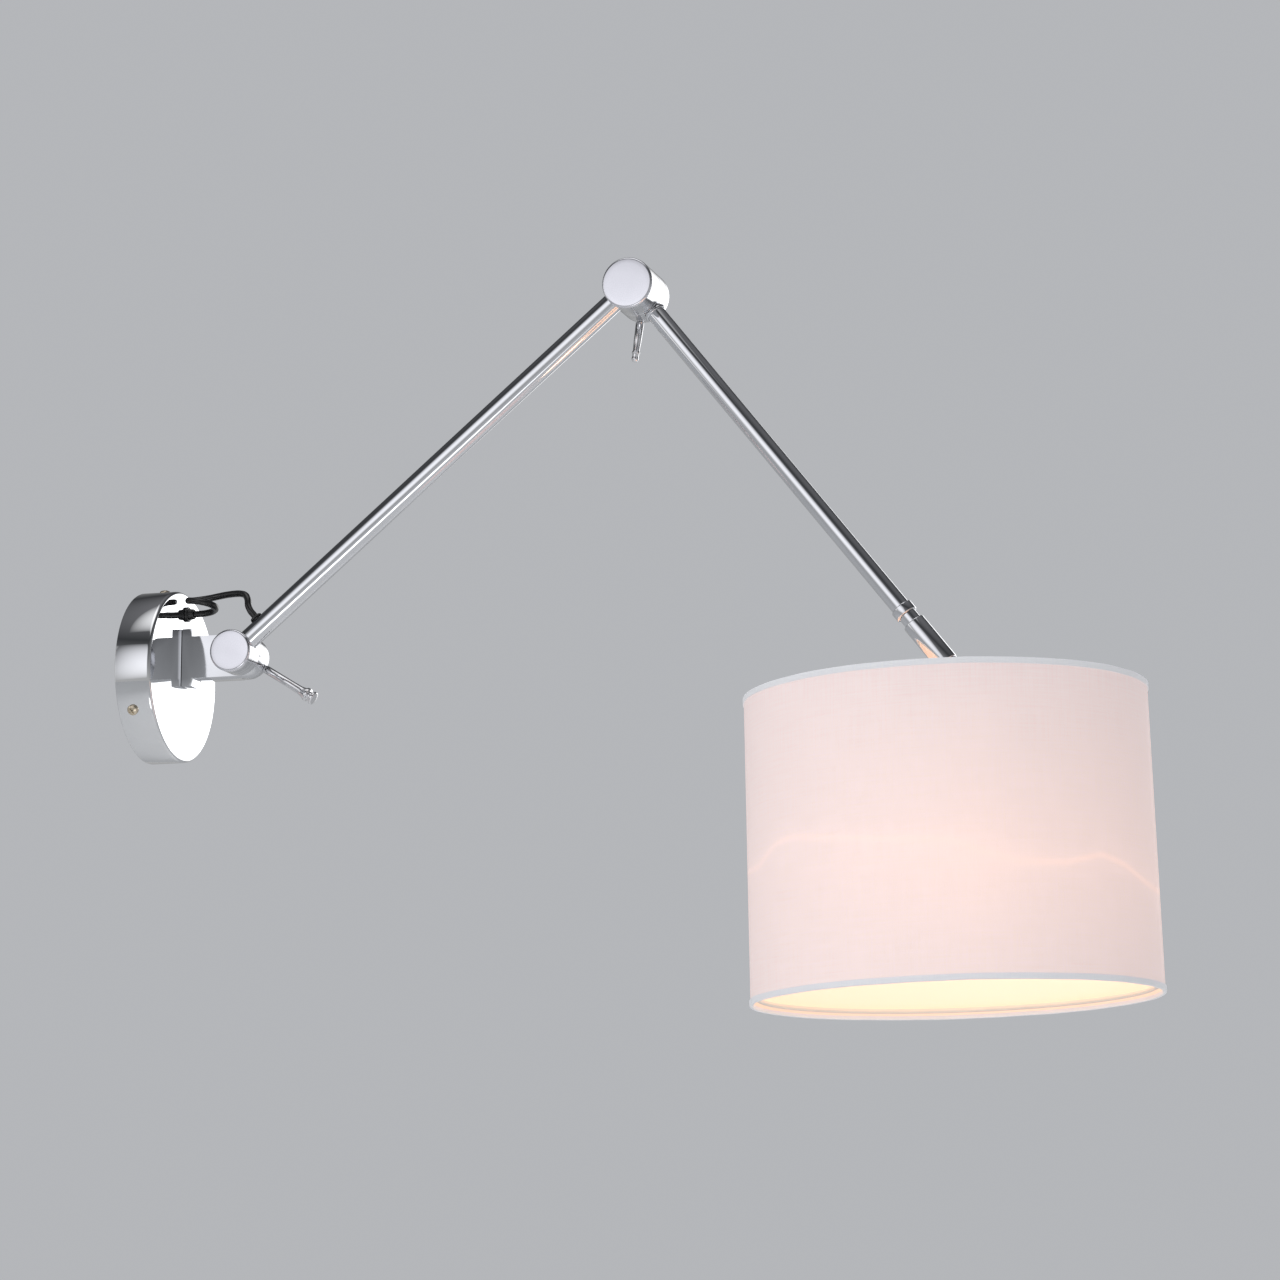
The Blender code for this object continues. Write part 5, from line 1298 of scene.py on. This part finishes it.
edge_points = {
    node: [from_axis(vertex.co)[1] for vertex in frame["nodes"][node].data.vertices]
    for node in ("shade_top_trim", "shade_bottom_trim")
}
make_tape("shade_top_tape", "shade_top_trim", max(edge_points["shade_top_trim"]), -1.0, head_radius)
make_tape("shade_bottom_tape", "shade_bottom_trim", min(edge_points["shade_bottom_trim"]), 1.0, foot_radius)

# %% [markdown]
# ## Finishes on the frame's own parts
#
# The remaining parts keep their measured shape. They only need a finish each, by what the real part is made of.
# Their faces are set to smooth shading and no point is moved. Two modifiers do the rest: Weld joins the loose
# triangles, and Edge Split keeps the corners over 35 degrees sharp.

# %% Frame parts
FINISH_OF_NODE = {
    "wall_plate": zinc,
    "foot_screw_lower": zinc,
    "foot_screw_upper": zinc,
    "terminal_block": nylon,
    "earth_screw": brass,
    "cord_grommet": black_moulding,
    "cord_bushing": black_moulding,
    "base_axle": zinc,
    "base_washer": nylon,
    "elbow_washer": nylon,
    "elbow_nipple": zinc,
    "swivel_set_screw": zinc,
    "hinge_fork": polished,
    "hinge_bolt": zinc,
    "hinge_thumb_nut": polished,
    "holder_bracket": zinc,
    "bracket_screw": zinc,
    "holder_cap": holder_white,
    "holder_shell": holder_white,
    "shade_ring_nut_upper": holder_white,
    "shade_ring_nut_lower": holder_white,
    "shade_wire_frame": wire_white,
    "shade_bottom_ring": wire_white,
    "bulb_cap": brass,
    "bulb_glass": opal,
}


def smooth_facets(obj):
    for face in obj.data.polygons:
        face.use_smooth = True
    weld = obj.modifiers.new("weld", "WELD")
    weld.merge_threshold = 0.000005
    split = obj.modifiers.new("corners", "EDGE_SPLIT")
    split.split_angle = math.radians(35.0)
    split.use_edge_sharp = False


shown = [name for name, obj in frame["nodes"].items() if not obj.hide_render]
for name in shown:
    node = frame["nodes"][name]
    node.data.materials.clear()
    node.data.materials.append(FINISH_OF_NODE[name])
    smooth_facets(node)
print(len(shown), "frame parts given a finish")

# %% [markdown]
# ## Floor and studio light
#
# The lamp hangs on a wall, so the pale floor lies well below it. Chrome needs something to mirror: large soft boxes
# give it white stripes, and the plain grey between them gives the dark ones. The boxes are hidden from the camera,
# but not from reflections.

# %% Floor
FLOOR_DROP = 1.5


def make_floor():
    clear_selection()
    bpy.ops.mesh.primitive_plane_add(size=14.0, location=(0.3, 0.0, -FLOOR_DROP))
    floor = bpy.context.object
    floor.name = "floor"
    surface = Finish("pale_floor")
    cloud = surface.noise(3.0, 3.0)
    surface.set(
        base_color=surface.blend(cloud, colour(0.93, 0.93, 0.92), colour(0.89, 0.89, 0.88)),
        roughness=(cloud * 0.1 + 0.6).clamped(),
    )
    floor.data.materials.append(surface.material)
    floor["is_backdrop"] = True


make_floor()


# %% Lights
def soft_box(name, place, target, width, height, power, tint=(1.0, 1.0, 1.0)):
    data = bpy.data.lights.new(name, "AREA")
    data.shape = "RECTANGLE"
    data.size = width
    data.size_y = height
    data.energy = power
    data.color = tint
    box = bpy.data.objects.new(name, data)
    bpy.context.scene.collection.objects.link(box)
    box.location = place
    box.rotation_mode = "QUATERNION"
    box.rotation_quaternion = (Vector(target) - Vector(place)).to_track_quat("-Z", "Y")
    box.visible_camera = False
    feather(data)


def feather(lamp):
    """A soft box is brightest in its middle, so its mirror image has soft edges too."""
    middle_gain = 1.9  # makes up for the light lost at the edges
    lamp.use_nodes = True
    graph = Graph(lamp.node_tree)
    spot = graph.node("ShaderNodeNewGeometry", {}, {}, "Parametric")
    across = graph.node("ShaderNodeSeparateXYZ", {}, {"Vector": spot}, 0)
    down = graph.node("ShaderNodeSeparateXYZ", {}, {"Vector": spot}, 1)
    falloff = (across * (1.0 - across) * down * (1.0 - down) * 16.0).power(0.7)
    shades = {0: falloff, 6: (0.0, 0.0, 0.0, 1.0), 7: (1.0, 1.0, 1.0, 1.0)}
    glow = graph.node("ShaderNodeMix", {"data_type": "RGBA"}, shades, 2)
    emission = lamp.node_tree.nodes["Emission"]
    graph.join(emission.inputs["Color"], glow)
    graph.join(emission.inputs["Strength"], middle_gain)


heart = Vector((0.34, 0.0, 0.0))
soft_box("over_box", (0.2, -0.6, 2.2), heart, 2.6, 2.0, 11.0)
soft_box("left_box", (-1.9, -1.5, 0.5), heart, 0.8, 1.9, 4.0)
soft_box("front_box", (-0.6, -2.9, 0.7), heart, 3.2, 2.4, 12.0, (0.96, 0.96, 1.0))
soft_box("back_box", (0.95, 2.4, 0.45), heart, 2.0, 2.0, 18.0)
soft_box("low_box", (0.7, -1.3, -1.2), heart, 1.2, 0.5, 2.5)


# %% Sky
SKY_BANDS = (
    (0.00, (0.40, 0.40, 0.40)),
    (0.42, (0.46, 0.46, 0.46)),
    (0.52, (0.36, 0.365, 0.37)),
    (0.64, (0.19, 0.192, 0.197)),
    (0.82, (0.045, 0.047, 0.05)),
    (1.00, (0.20, 0.20, 0.21)),
)


def make_sky():
    """Pale and even where the camera looks. In reflections it darkens above the horizon, so chrome has depth."""
    world = bpy.data.worlds.new("studio")
    world.use_nodes = True
    bpy.context.scene.world = world
    graph = Graph(world.node_tree)
    way = graph.node("ShaderNodeTexCoord", {}, {}, "Generated")
    climb = graph.node("ShaderNodeSeparateXYZ", {}, {"Vector": way}, 2)
    bands = graph.node("ShaderNodeValToRGB", {"stops": SKY_BANDS}, {"Fac": climb * 0.5 + 0.5})
    mirrored = graph.node("ShaderNodeLightPath", {}, {}, "Is Glossy Ray")
    seen = (0.46, 0.47, 0.49, 1.0)
    tone = graph.node("ShaderNodeMix", {"data_type": "RGBA"}, {0: mirrored, 6: seen, 7: bands}, 2)
    graph.join(world.node_tree.nodes["Background"].inputs["Color"], tone)


make_sky()
bpy.context.scene.view_settings.view_transform = "Standard"
bpy.context.scene.view_settings.look = "None"

# %% Finish
clear_selection()
finished_box = [list(corner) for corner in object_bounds()]
for side, (before, after) in enumerate(zip(zip(*cad_box), zip(*finished_box))):
    print("XYZ"[side], [round(v, 4) for v in before], "->", [round(v, 4) for v in after])
